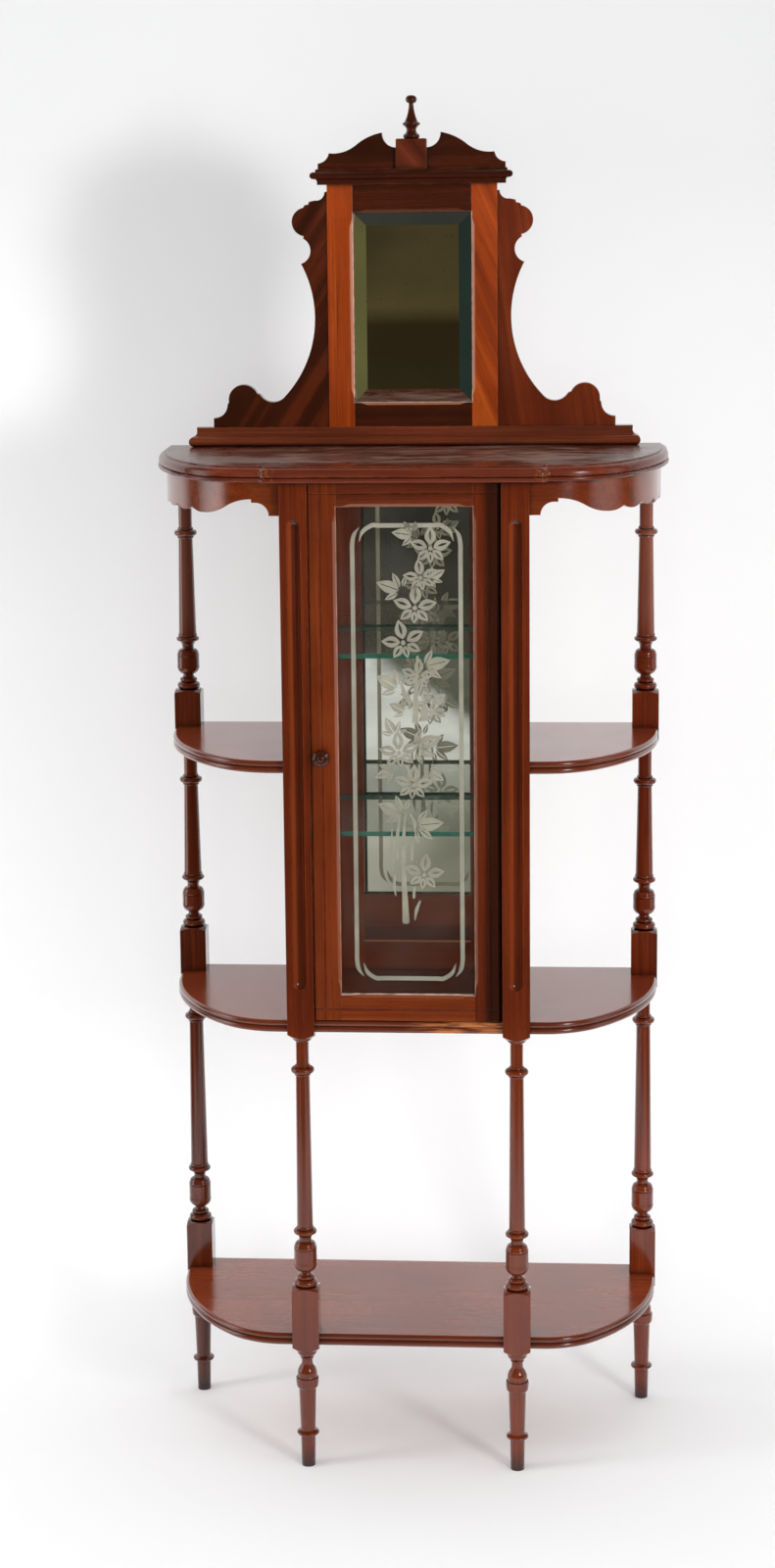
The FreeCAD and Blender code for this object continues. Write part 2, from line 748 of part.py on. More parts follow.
def apron():
    """Right-hand bent apron with its bracketed, swept and scalloped lower edge."""
    low = top_underside - apron_height
    outer = apron_edges(0.0)
    inner = apron_edges(apron_thickness)
    ends = [Part.LineSegment(outer[0].Vertexes[0].Point, inner[0].Vertexes[0].Point).toShape(),
            Part.LineSegment(outer[-1].Vertexes[-1].Point, inner[-1].Vertexes[-1].Point).toShape()]
    face = Part.Face(Part.Wire(Part.__sortEdges__(outer + inner + ends)))
    face.translate(Vector(0, 0, low))
    bent = face.extrude(Vector(0, 0, apron_height))
    x = front_post_x + half_post + apron_flat
    shelf_z = low + apron_cavetto
    lip_x = x + apron_cavetto + apron_lip
    sweep_z = low + apron_sweep_rise
    sweep_x = apron_half - apron_sweep_gap
    sweep = sweep_x - lip_x
    middle = (lip_x + sweep_x) / 2
    chord = sqrt(sweep ** 2 + apron_sweep_rise ** 2) / 2
    sag = chord / 2 * tan(atan2(apron_sweep_rise, sweep) / 2)
    cavetto_sag = apron_cavetto * (1 - sqrt(0.5))
    steps = [(x + apron_cavetto, shelf_z, -cavetto_sag), (lip_x, shelf_z), (lip_x, sweep_z),
             (middle, (low + sweep_z) / 2, -sag), (sweep_x, low, sag), (sweep_x, low - apron_cavetto),
             (x, low - apron_cavetto)]
    front = outline_face((x, low), steps, lambda u, v: Vector(u, -top_depth, v))
    cutters = [front.extrude(Vector(0, 2 * top_depth, 0))]
    path = Part.Wire(outer[1:])
    points = path.discretize(Distance=1.0)
    start = min(range(len(points)), key=lambda i: abs(points[i].x - sweep_x))
    spacing = path.Length / (len(points) - 1)
    for i in range(scallop_count):
        index = start + int(round((0.5 + i) * scallop_pitch / spacing))
        if index < len(points) - 1:
            point = points[index]
            tangent = points[index + 1].sub(points[index - 1]).normalize()
            normal = Vector(tangent.y, -tangent.x, 0)
            cutters.append(scallop_cutter(Vector(point.x, point.y, low), normal))
    return bent.cut(cutters)


# Cabinet carcase

def cabinet_side():
    """Right-hand cabinet side, tongued into the front post and butted to the back frame."""
    return box(side_inner, side_outer, front_post_y + half_post - groove_depth, back_front,
               cabinet_floor_top, top_underside)


def frame_members(half, stile, z0, z1, low, high, y0, y1, lip, rebate):
    """Stile and two rails of a frame with stub tenons and a stopped rebate behind a front lip."""
    sight = half - stile
    sight_low = z0 + low
    sight_high = z1 - high
    hollow = box(-sight - rebate, sight + rebate, y0 + lip, y1, sight_low - rebate, sight_high + rebate)
    tongue_y = y0 + (y1 - y0 - stub_thickness) / 2
    rails = []
    tongues = []
    for a, b, ta, tb in ((z0, sight_low, z0 + stub_margin / 2, sight_low - stub_margin),
                         (sight_high, z1, sight_high + stub_margin, z1 - stub_margin / 2)):
        tongue = box(-sight - stub_tenon, sight + stub_tenon, tongue_y, tongue_y + stub_thickness, ta, tb)
        rails.append(joined([box(-sight, sight, y0, y1, a, b), tongue]).cut(hollow))
        tongues.append(tongue)
    stile_right = box(sight, half, y0, y1, z0, z1).cut([hollow] + tongues)
    return stile_right, rails[0], rails[1]


def end_rail():
    """Right-hand rail under the back of the top, from the cabinet to the back post."""
    return box(side_outer, back_post_x - half_post, back_front, carcase_back,
               top_underside - end_rail_height, top_underside)


def plate(half, z0, z1, y0, y1):
    """Rectangular plate that lies in a rebate with a little room round its edge."""
    return box(-half + plate_gap, half - plate_gap, y0, y1, z0 + plate_gap, z1 - plate_gap)


# Door

def sight_edges(sight, z0, z1, y, depth):
    """Stopped chamfers along the four front arrises of a frame's opening."""
    tilt = sqrt(0.5)
    up, side = Vector(0, 0, 1), Vector(1, 0, 0)
    low = z0 + chamfer_stop
    inner = sight - chamfer_stop
    height = z1 - z0 - 2 * chamfer_stop
    width = 2 * inner
    return {"left": stopped_chamfer(Vector(-sight, y, low), up, Vector(tilt, -tilt, 0), height, depth),
            "right": stopped_chamfer(Vector(sight, y, low), up, Vector(-tilt, -tilt, 0), height, depth),
            "low": stopped_chamfer(Vector(-inner, y, z0), side, Vector(0, -tilt, tilt), width, depth),
            "high": stopped_chamfer(Vector(-inner, y, z1), side, Vector(0, -tilt, -tilt), width, depth)}


def door_grooves():
    """Scratched V lines that cross at the corners of the door's face."""
    d = door_groove_depth
    cutters = []
    for s in (-1, 1):
        x = s * (door_half - door_groove_x)
        wire = [Vector(x - d, door_front, 0), Vector(x + d, door_front, 0), Vector(x, door_front + d, 0)]
        face = Part.Face(Part.makePolygon(wire + wire[:1]))
        face.translate(Vector(0, 0, door_bottom))
        cutters.append(face.extrude(Vector(0, 0, door_top - door_bottom)))
    for z in (door_bottom + door_groove_z, door_top - door_groove_z):
        wire = [Vector(-door_half, door_front, z - d), Vector(-door_half, door_front, z + d),
                Vector(-door_half, door_front + d, z)]
        cutters.append(Part.Face(Part.makePolygon(wire + wire[:1])).extrude(Vector(2 * door_half, 0, 0)))
    return cutters


def hinge_edge(stile):
    """Hinge stile with its front arris rounded, so that it turns clear of the post."""
    arris = [e for e in stile.Edges if abs(e.CenterOfMass.x - door_half) < tiny
             and abs(e.CenterOfMass.y - door_front) < tiny]
    return stile.makeFillet(door_hinge_round, arris)


def pivot(at_top):
    """Pivot plate let into the end of the hinge stile, with the pin that turns in its bush."""
    x1 = door_half - pivot_plate_inset
    x0 = x1 - pivot_plate_length
    y0 = pivot_y - pivot_plate_width / 2
    if at_top:
        z0, z1, pin_z = door_top - pivot_plate_thickness, door_top, door_top
    else:
        z0, z1, pin_z = door_bottom, door_bottom + pivot_plate_thickness, door_bottom - pivot_reach
    leaf = box(x0, x1, y0, y0 + pivot_plate_width, z0, z1)
    return joined([leaf, rod(pivot_x, pivot_y, pin_z, pivot_radius, pivot_reach)])


def pivot_screws():
    """Two countersunk screws in each pivot plate."""
    screws = []
    for z, way in ((door_top, -1), (door_bottom, 1)):
        for place in pivot_screw_places:
            x = pivot_x - place
            screws.append(countersunk(Vector(x, pivot_y, z), Vector(0, 0, way), screw_radius,
                                      screw_head_radius, screw_length))
    return screws


def bush(at_top):
    """Bush for a pivot pin; the lower one has a flange that carries the door."""
    bore = pivot_radius + pivot_clearance
    if at_top:
        body = rod(pivot_x, pivot_y, top_underside, bush_radius, bush_length)
        return body.cut(rod(pivot_x, pivot_y, top_underside, bore, pivot_reach))
    body = rod(pivot_x, pivot_y, cabinet_floor_top - bush_length, bush_radius, bush_length)
    flange = rod(pivot_x, pivot_y, cabinet_floor_top, bush_flange_radius, bush_flange)
    hole = rod(pivot_x, pivot_y, cabinet_floor_top - pivot_reach, bore, pivot_reach + bush_flange)
    return joined([body, flange]).cut(hole)


def knob_screw():
    """Screw through the door stile into the knob, head sunk in the back of the stile."""
    x = -door_half + door_groove_x
    seat = door_back - knob_screw_head
    tip = door_front - knob_screw_grip
    head = rod(x, seat, knob_z, knob_screw_head_radius, knob_screw_head, Vector(0, 1, 0))
    return joined([head, rod(x, tip, knob_z, knob_screw_radius, seat - tip, Vector(0, 1, 0))])


def knob():
    """Turned knob: foot, neck and a flattened head with a small ring on its face."""
    x = -door_half + door_groove_x
    solid = turned(0, 0, knob_profile[0], knob_profile[1:])
    solid.rotate(Vector(0, 0, 0), Vector(1, 0, 0), 90)
    solid.translate(Vector(x, door_front, knob_z))
    return solid.cut(knob_screw())


def catch_body():
    """Magnetic catch under the top, behind the door's upper rail."""
    y = door_back + strike_thickness + catch_gap
    return box(catch_x - catch_length / 2, catch_x + catch_length / 2, y, y + catch_depth,
               top_underside - catch_height, top_underside)


def strike():
    """Steel strike on the back of the door, facing the catch."""
    z = door_top - strike_drop
    return box(catch_x - strike_length / 2, catch_x + strike_length / 2, door_back,
               door_back + strike_thickness, z - strike_height, z)


def glazing_beads(sight, z0, z1, rebate, y0, y1):
    """Four beads with a rounded inner arris that hold the glass in the rebate."""
    ease = min(rebate, y1 - y0) - glazing_bead_flat
    sag = ease * (1 - sqrt(0.5))
    steps = [(rebate, y0), (rebate, y1), (ease, y1), (0.0, y1 - ease, -sag)]
    beads = []
    for s in (-1, 1):
        face = outline_face((0.0, y0), steps, lambda u, v: Vector(s * (sight + u), v, z0 - rebate))
        beads.append(face.extrude(Vector(0, 0, z1 - z0 + 2 * rebate)))
    for edge, s in ((z0, -1), (z1, 1)):
        face = outline_face((0.0, y0), steps, lambda u, v: Vector(-sight, v, edge + s * u))
        beads.append(face.extrude(Vector(2 * sight, 0, 0)))
    return beads


# Glass shelves

def glass_shelf(top):
    """Loose plate-glass shelf between the cabinet sides."""
    half = side_inner - glass_side_gap
    return box(-half, half, glass_front, glass_back, top - glass_shelf_thickness, top)


def shelf_pins(top):
    """Four pins in the cabinet sides under one glass shelf."""
    z = top - glass_shelf_thickness - pin_radius
    pins = []
    for s in (-1, 1):
        for y in (glass_front + pin_inset, glass_back - pin_inset):
            x = s * (side_inner + pin_length / 2)
            pins.append(rod(x, y, z, pin_radius, pin_length, Vector(-s, 0, 0)))
    return pins


# Gallery

def gallery_base():
    """Moulded plinth of the gallery: torus, quirk, cove and top fillet, bored for its screws."""
    front = frame_front - base_projection
    block = mitred_block(base_half_width, front, gallery_back, base_profile, top_z)
    return block.cut(fixing_screws())


def cornice():
    """Cornice: bottom fillet, cove, torus and top fillet."""
    return mitred_block(frame_half_width + cornice_overhang, frame_front - cornice_overhang, gallery_back,
                        cornice_profile, frame_z)


def scroll_bracket():
    """Right-hand fretted bracket: lobed upper end, long hollow and lobed foot."""
    u = frame_half_width
    top = frame_z - bracket_drop
    outline = [(u, top)] + moved(bracket_head, u, top) + moved(bracket_foot, u + bracket_reach, base_z)
    y0 = frame_middle - bracket_thickness / 2
    return board_xz((u, base_z), outline, y0, y0 + bracket_thickness)


def pediment():
    """Right-hand pediment board, rising in an S to a horn beside the middle block."""
    u = block_width / 2
    end = frame_half_width + pediment_end_gap
    outline = moved(pediment_tail, end, cornice_z) + moved(pediment_horn, u, cornice_z)
    y1 = gallery_back - pediment_back_gap
    return board_xz((u, cornice_z), outline, y1 - pediment_thickness, y1)


def block_middle():
    """Depth of the pediment's middle plane, where the block and finial stand."""
    return gallery_back - pediment_back_gap - pediment_thickness / 2


def pediment_block():
    """Square block between the pediment boards, bored for the finial."""
    half = block_width / 2
    y = block_middle()
    block = box(-half, half, y - block_depth / 2, y + block_depth / 2, cornice_z, block_z)
    crown = [e for e in block.Edges if abs(e.CenterOfMass.z - block_z) < tiny]
    hole = rod(0, y, block_z - finial_tenon_length, finial_tenon_radius, finial_tenon_length)
    return block.makeChamfer(block_chamfer, crown).cut(hole)


def finial():
    """Turned finial: base swell, flange, hollow cone and ball, pegged into the block."""
    y = block_middle()
    spire = turned(0, y, finial_profile[0], finial_profile[1:])
    spire.translate(Vector(0, 0, block_z))
    peg = rod(0, y, block_z - finial_tenon_length, finial_tenon_radius, finial_tenon_length)
    return joined([spire, peg])


def bevelled_mirror(half, z0, z1, seat, cover):
    """Mirror plate, seated on the rebate's lip, with its face bevelled all round the opening."""
    edge = box(-half, half, seat, seat + bevel_edge, z0, z1)
    wires = []
    for y, inset in ((seat, cover), (seat - bevel_drop, cover + bevel_width)):
        w, a, b = half - inset, z0 + inset, z1 - inset
        corners = [Vector(-w, y, a), Vector(w, y, a), Vector(w, y, b), Vector(-w, y, b)]
        wires.append(Part.makePolygon(corners + corners[:1]))
    return joined([edge, Part.makeLoft(wires, True, True)])


# Assembly
nodes = {}


def pair(name, shape):
    """A right-hand part and its mirror image."""
    nodes[name + "_right"] = shape
    nodes[name + "_left"] = mirrored(shape)


nodes["top_board"] = top_board()
nodes["cabinet_floor_shelf"] = full_shelf(cabinet_floor_top).cut(
    rod(pivot_x, pivot_y, cabinet_floor_top - bush_length, bush_radius, bush_length))
nodes["bottom_shelf"] = full_shelf(bottom_shelf_top)
pair("side_shelf", side_shelf())
pair("front_post", front_post())
pair("back_post", back_post())
pair("apron", apron())
pair("end_rail", end_rail())
pin_rows = {"lower": shelf_pins(lower_glass_top), "upper": shelf_pins(upper_glass_top)}
pair("cabinet_side", cabinet_side().cut(pin_rows["lower"] + pin_rows["upper"]))
nodes["shelf_dowels"] = Part.makeCompound(dowel_pegs())
nodes["gallery_screws"] = Part.makeCompound(fixing_screws())

# Framed mirror back of the cabinet
back_half = side_outer
back_sight = back_half - back_stile_width
back_low = cabinet_floor_top + back_rail_low
back_high = top_underside - back_rail_high
stile, rail_low, rail_high = frame_members(back_half, back_stile_width, cabinet_floor_top, top_underside,
                                           back_rail_low, back_rail_high, back_front, carcase_back,
                                           back_lip, back_rebate)
pair("cabinet_back_stile", stile)
nodes["cabinet_back_rail_lower"] = rail_low
nodes["cabinet_back_rail_upper"] = rail_high
mirror_y = back_front + back_lip
nodes["cabinet_mirror"] = plate(back_sight + back_rebate, back_low - back_rebate, back_high + back_rebate,
                                mirror_y, mirror_y + mirror_thickness)
board_y = mirror_y + mirror_thickness
nodes["cabinet_backboard"] = plate(back_sight + back_rebate, back_low - back_rebate, back_high + back_rebate,
                                   board_y, board_y + backboard_thickness)

# Glazed door on its pivots
door_sight = door_half - door_stile_width
door_low = door_bottom + door_rail_low
door_high = door_top - door_rail_high
stile, rail_low, rail_high = frame_members(door_half, door_stile_width, door_bottom, door_top, door_rail_low,
                                           door_rail_high, door_front, door_back, door_lip, door_rebate)
arrises = sight_edges(door_sight, door_low, door_high, door_front, door_chamfer)
grooves = door_grooves()
fittings = [pivot(True), pivot(False)] + pivot_screws()
nodes["door_stile_right"] = hinge_edge(stile).cut([arrises["right"]] + grooves + fittings)
nodes["door_stile_left"] = mirrored(stile).cut([arrises["left"], knob_screw()] + grooves)
nodes["door_rail_lower"] = rail_low.cut([arrises["low"]] + grooves)
nodes["door_rail_upper"] = rail_high.cut([arrises["high"]] + grooves)
glass_y = door_front + door_lip
nodes["door_glass"] = plate(door_sight + door_rebate, door_low - door_rebate, door_high + door_rebate,
                            glass_y, glass_y + glass_thickness)
nodes["glazing_beads"] = Part.makeCompound(glazing_beads(door_sight, door_low, door_high, door_rebate,
                                                         glass_y + glass_thickness, door_back))
nodes["door_knob"] = knob()
nodes["knob_screw"] = knob_screw()
nodes["pivot_upper"] = pivot(True).cut(pivot_screws())
nodes["pivot_lower"] = pivot(False).cut(pivot_screws())
nodes["pivot_screws"] = Part.makeCompound(pivot_screws())
nodes["pivot_bush_upper"] = bush(True)
nodes["pivot_bush_lower"] = bush(False)
nodes["door_catch"] = catch_body()
nodes["catch_strike"] = strike()

# Glass shelves and their pins
for level, top in (("lower", lower_glass_top), ("upper", upper_glass_top)):
    nodes["glass_shelf_" + level] = glass_shelf(top)
    nodes["shelf_pins_" + level] = Part.makeCompound(pin_rows[level])

# Mirrored gallery
nodes["gallery_base"] = gallery_base()
stile, rail_low, rail_high = frame_members(frame_half_width, frame_stile_width, base_z, frame_z,
                                           frame_rail_low, frame_rail_high, frame_front, gallery_back,
                                           frame_lip, frame_rebate)
frame_sight = frame_half_width - frame_stile_width
frame_low = base_z + frame_rail_low
frame_high = frame_z - frame_rail_high
arrises = sight_edges(frame_sight, frame_low, frame_high, frame_front, frame_chamfer)
nodes["mirror_stile_right"] = stile.cut(arrises["right"])
nodes["mirror_stile_left"] = mirrored(stile).cut(arrises["left"])
nodes["mirror_rail_lower"] = rail_low.cut(arrises["low"])
nodes["mirror_rail_upper"] = rail_high.cut(arrises["high"])
plate_y = frame_front + frame_lip
plate_half = frame_sight + frame_rebate
nodes["gallery_mirror"] = bevelled_mirror(plate_half - plate_gap, frame_low - frame_rebate + plate_gap,
                                          frame_high + frame_rebate - plate_gap, plate_y,
                                          frame_rebate - plate_gap)
nodes["gallery_backboard"] = plate(plate_half, frame_low - frame_rebate, frame_high + frame_rebate,
                                   plate_y + bevel_edge, plate_y + bevel_edge + backboard_thickness)
pair("scroll_bracket", scroll_bracket())
nodes["cornice"] = cornice()
pair("pediment", pediment())
nodes["pediment_block"] = pediment_block()
nodes["finial"] = finial()

os.makedirs("parts", exist_ok=True)
for name, shape in nodes.items():
    shape.exportStep("parts/" + name + ".step")
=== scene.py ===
from math import radians

import bpy
import numpy as np
from mathutils import Matrix, Vector


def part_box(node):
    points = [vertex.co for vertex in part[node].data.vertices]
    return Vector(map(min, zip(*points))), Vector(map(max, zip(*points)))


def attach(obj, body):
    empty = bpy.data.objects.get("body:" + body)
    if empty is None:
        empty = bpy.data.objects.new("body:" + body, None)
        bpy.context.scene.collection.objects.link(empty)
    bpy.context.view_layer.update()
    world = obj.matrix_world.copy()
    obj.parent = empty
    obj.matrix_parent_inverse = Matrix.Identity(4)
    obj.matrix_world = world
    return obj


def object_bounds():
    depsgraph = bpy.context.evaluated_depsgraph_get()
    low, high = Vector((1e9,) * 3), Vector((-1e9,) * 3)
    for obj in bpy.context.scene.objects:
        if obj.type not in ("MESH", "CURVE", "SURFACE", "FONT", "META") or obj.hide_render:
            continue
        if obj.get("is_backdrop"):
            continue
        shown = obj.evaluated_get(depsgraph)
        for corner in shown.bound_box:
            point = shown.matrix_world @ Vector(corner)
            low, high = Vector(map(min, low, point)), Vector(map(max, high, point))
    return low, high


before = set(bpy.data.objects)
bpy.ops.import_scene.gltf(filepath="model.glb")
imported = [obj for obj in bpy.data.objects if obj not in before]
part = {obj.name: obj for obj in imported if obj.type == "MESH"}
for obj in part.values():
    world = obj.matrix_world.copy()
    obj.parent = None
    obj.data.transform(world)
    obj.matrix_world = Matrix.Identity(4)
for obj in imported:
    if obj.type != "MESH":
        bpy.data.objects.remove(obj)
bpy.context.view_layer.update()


# Colours

def shade(red, green, blue):
    """A screen colour of 0 to 255 as linear light, with full cover."""
    c = np.array([red, green, blue]) / 255
    linear = np.where(c <= 0.04045, c / 12.92, ((c + 0.055) / 1.055) ** 2.4)
    return (*linear.tolist(), 1.0)


WHITE = (1.0, 1.0, 1.0, 1.0)

# Wood tones, each dark, middle and light
RED = (shade(52, 15, 3), shade(86, 29, 6), shade(114, 45, 12))
DOOR = (shade(64, 20, 4), shade(102, 39, 9), shade(128, 56, 16))
DEEP = (shade(32, 9, 2), shade(53, 16, 3), shade(75, 26, 6))
DARK = (shade(26, 7, 2), shade(45, 13, 3), shade(66, 22, 5))
STRIPED = (shade(22, 6, 2), shade(53, 16, 4), shade(94, 35, 11))
BRIGHT = (shade(82, 25, 1), shade(126, 46, 3), shade(164, 74, 14))
TURNED = (shade(52, 15, 4), shade(87, 30, 8), shade(116, 47, 16))
SHADED = (shade(46, 13, 4), shade(74, 26, 9), shade(100, 41, 16))
DRY = (shade(54, 20, 9), shade(90, 38, 18), shade(120, 57, 30))
# Lighter copy of the turned tone for the right back post, painted light from the right
LIT_POST = (shade(64, 20, 7), shade(103, 38, 15), shade(134, 57, 26))
BOARD = (shade(110, 43, 21), shade(126, 53, 27), shade(140, 62, 34))
INSIDE = (shade(92, 32, 11), shade(138, 56, 22), shade(164, 76, 34))
TOP = (shade(54, 18, 8), shade(88, 34, 17), shade(110, 48, 27))
PLY = (shade(104, 70, 42), shade(138, 98, 62), shade(164, 124, 84))
# Pale brown of bare wood at chips, and part of a painted highlight on the cabinet floor's arris
BARE_AND_HIGHLIGHT = shade(178, 108, 54)
# Near-black brown of grime and a crack, also used for painted shade in hollows, on moulded edges and as cast
# shadows
GRIME_AND_SHADE = shade(22, 8, 5)
# Dust on the top, and the colour of the painted sheen on the back posts
DUST_AND_SHEEN = shade(164, 132, 116)


# Node trees

class Finish:
    """A material under construction, with short calls that add one node each."""

    def __init__(self, name):
        self.material = bpy.data.materials.new(name)
        self.material.use_nodes = True
        self.tree = self.material.node_tree
        self.tree.nodes.clear()
        self.output = self.tree.nodes.new("ShaderNodeOutputMaterial")
        self.coords = self.tree.nodes.new("ShaderNodeTexCoord").outputs["Object"]
        self.geometry = self.tree.nodes.new("ShaderNodeNewGeometry").outputs

    def feed(self, socket, value):
        """Link a socket, or set its constant."""
        if isinstance(value, bpy.types.NodeSocket):
            self.tree.links.new(value, socket)
        else:
            socket.default_value = value

    def add(self, kind, inputs, out=0, **settings):
        """One node with its inputs by name or index; gives back one output socket."""
        node = self.tree.nodes.new("ShaderNode" + kind)
        for key, value in settings.items():
            setattr(node, key, value)
        for key, value in inputs.items():
            self.feed(node.inputs[key], value)
        return node.outputs[out]

    def math(self, operation, a, b=0.0):
        """One step of arithmetic on numbers or sockets."""
        return self.add("Math", {0: a, 1: b}, operation=operation)

    def times(self, *values):
        """Product of numbers or sockets."""
        product = values[0]
        for value in values[1:]:
            product = self.math("MULTIPLY", product, value)
        return product

    def scaled(self, vector, factors):
        """A point stretched by three factors."""
        return self.add("VectorMath", {0: vector, 1: factors}, operation="MULTIPLY")

    def noise(self, vector, scale=1.0, detail=2.0, rough=0.5, bend=0.0):
        """Smooth noise between 0 and 1 at a point."""
        inputs = {"Vector": vector, "Scale": scale, "Detail": detail, "Roughness": rough, "Distortion": bend}
        return self.add("TexNoise", inputs)

    def ramp(self, value, *stops):
        """A colour or grey that follows a value through stops of (place, colour)."""
        node = self.tree.nodes.new("ShaderNodeValToRGB")
        self.feed(node.inputs[0], value)
        marks = node.color_ramp.elements
        while len(marks) < len(stops):
            marks.new(1.0)
        for mark, (place, colour) in zip(marks, stops):
            mark.position = place
            mark.color = colour if isinstance(colour, tuple) else (colour, colour, colour, 1.0)
        return node.outputs[0]

    def mix(self, factor, a, b, way="MIX"):
        """Two colours mixed by a factor."""
        return self.add("Mix", {0: factor, 6: a, 7: b}, out=2, data_type="RGBA", blend_type=way)

    def axis(self, vector, index):
        """One of a point's three coordinates."""
        return self.add("SeparateXYZ", {0: vector}, out=index)

    def above(self, value, limit, soft):
        """1 where a value lies over a limit, falling to 0 over a soft edge."""
        return self.add("MapRange", {0: value, 1: limit - soft, 2: limit + soft},
                        interpolation_type="SMOOTHSTEP")

    def below(self, value, limit, soft):
        """1 where a value lies under a limit, falling to 0 over a soft edge."""
        return self.add("MapRange", {0: value, 1: limit - soft, 2: limit + soft, 3: 1.0, 4: 0.0},
                        interpolation_type="SMOOTHSTEP")

    def window(self, value, low, high, soft):
        """1 where a value lies between two limits, with soft edges."""
        return self.times(self.above(value, low, soft), self.below(value, high, soft))

    def show(self, surface):
        """Put a shader on the output and give back the finished material."""
        self.tree.links.new(surface, self.output.inputs["Surface"])
        return self.material


# Timber

# Turn about the y axis that lays a board's grain along an axis
GRAIN = {"x": 0.0, "z": radians(90)}

# Waves per metre of each layer of the figure, along and across the grain
FIBRE = (9.0, 620.0, 620.0)
STREAK = (2.2, 105.0, 105.0)
RIBBON = (1.1, 26.0, 26.0)
PORE = (70.0, 1500.0, 1500.0)

# Step through the log from one board to the next, so that no two share a figure
BOARD_STEP = (1.7, 0.61, 0.37)

# Pale line beside the glass, part painted highlight and part wear, inside an opening's outer edge; dark tip
# of a foot
PALE_LINE_INSET = 0.0029
FOOT_TIP = 0.02


class Timber(Finish):
    """Polished wood: fibres, streaks and ribbon figure along the grain, pores, worn arrises, and darkening
    in hollows that is partly painted shade.
    """

    def __init__(self, name, grain, tones, offset, tilt=0.0, figure=0.4):
        super().__init__(name)
        turn = GRAIN[grain] + radians(tilt)
        board = self.add("Mapping", {"Vector": self.coords, "Rotation": (0.0, turn, 0.0),
                                     "Location": tuple(offset * step for step in BOARD_STEP)})
        self.fibre = self.noise(self.scaled(board, FIBRE), detail=3.0, rough=0.6)
        streak = self.noise(self.scaled(board, STREAK), detail=4.0, rough=0.55, bend=0.6)
        ribbon = self.noise(self.scaled(board, RIBBON), bend=0.9)
        pore = self.noise(self.scaled(board, PORE), detail=1.0)
        self.pore = self.ramp(pore, (0.30, 0.0), (0.40, 1.0))
        body = self.math("ADD", self.times(streak, 0.55), self.times(self.fibre, 0.45))
        figured = self.add("Mix", {0: figure, 2: body, 3: ribbon})
        dark, mid, light = tones
        colour = self.ramp(figured, (0.31, dark), (0.50, mid), (0.69, light))
        blotch = self.ramp(self.noise(self.coords, scale=7.0, detail=3.0), (0.35, 0.84), (0.65, 1.10))
        colour = self.mix(1.0, colour, blotch, "MULTIPLY")
        self.colour = self.mix(self.times(self.math("SUBTRACT", 1.0, self.pore), 0.45), colour, dark)
        self.dull = 0.0

    def stain(self, mask, colour):
        """Cover part of the wood with a colour."""
        self.colour = self.mix(mask, self.colour, colour)
        return self

    def worn(self, reach=0.0016, amount=0.5):
        """Lighter, rubbed colour where an arris turns sharply, broken up by noise."""
        eased = self.add("Bevel", {"Radius": reach}, samples=4)
        flat = self.add("VectorMath", {0: eased, 1: self.geometry["True Normal"]}, out=1,
                        operation="DOT_PRODUCT")
        rub = self.ramp(flat, (0.72, 1.0), (0.97, 0.0))
        patches = self.noise(self.coords, scale=60.0, detail=4.0, rough=0.7)
        patches = self.ramp(patches, (0.42, 0.0), (0.62, 1.0))
        return self.stain(self.times(rub, patches, amount), shade(156, 86, 46))

    def around(self, half, low, high):
        """1 inside an opening of the given half width, foot and head."""
        beside = self.below(self.math("ABSOLUTE", self.axis(self.coords, 0)), half, 0.0004)
        return self.times(beside, self.window(self.axis(self.coords, 2), low, high, 0.0004))

    def lit_facets(self, amount, pale_mark, half, low, high):
        """Painted highlights on the chamfers round an opening, and a pale broken line next to its glass,
        part painted highlight and part wear.
        """
        lean = self.window(self.axis(self.geometry["True Normal"], 1), -0.97, -0.4, 0.02)
        self.stain(self.times(lean, self.around(half, low, high), amount), shade(204, 138, 106))
        near = self.around(half - PALE_LINE_INSET, low + PALE_LINE_INSET, high - PALE_LINE_INSET)
        patches = self.ramp(self.noise(self.coords, scale=90.0, detail=3.0), (0.35, 0.3), (0.6, 1.0))
        return self.stain(self.times(near, patches, pale_mark), shade(214, 192, 176))

    def painted_edge_shade(self, amount):
        """Painted shade on the moulded edges of a level board: every face that does not lie level is
        darkened.
        """
        level = self.math("ABSOLUTE", self.axis(self.geometry["True Normal"], 2))
        return self.stain(self.times(self.math("LESS_THAN", level, 0.9), amount), GRIME_AND_SHADE)

    def dark_feet(self):
        """Dark tips where feet stand on the floor."""
        tip = self.below(self.axis(self.coords, 2), FOOT_TIP, 0.018)
        return self.stain(self.times(tip, 0.75), GRIME_AND_SHADE)

    def occlusion_darkened(self, reach=0.007, amount=0.8):
        """Darker where ambient occlusion finds quirks and inner corners: painted shade together with old
        polish and dust.
        """
        open_sky = self.add("AmbientOcclusion", {"Distance": reach}, out=1, samples=4)
        deep = self.ramp(open_sky, (0.30, 1.0), (0.85, 0.0))
        return self.stain(self.times(deep, amount), GRIME_AND_SHADE)

    def polished(self, rough=0.2, coat=0.25):
        """Finish under shellac: streaky gloss, a clear coat and open pores."""
        smear = self.noise(self.coords, scale=14.0, detail=4.0, rough=0.65)
        gloss = self.math("ADD", rough - 0.08, self.times(smear, 0.16))
        gloss = self.math("ADD", gloss, self.dull)
        relief = self.math("ADD", self.times(self.pore, 0.7), self.times(self.fibre, 0.5))
        eased = self.add("Bevel", {"Radius": 0.0009}, samples=4)
        normal = self.add("Bump", {"Strength": 0.25, "Distance": 0.0001, "Height": relief, "Normal": eased})
        inputs = {"Base Color": self.colour, "Roughness": gloss, "Normal": normal, "IOR": 1.48,
                  "Specular IOR Level": 0.4, "Coat Weight": coat, "Coat Roughness": 0.1}
        return self.show(self.add("BsdfPrincipled", inputs))


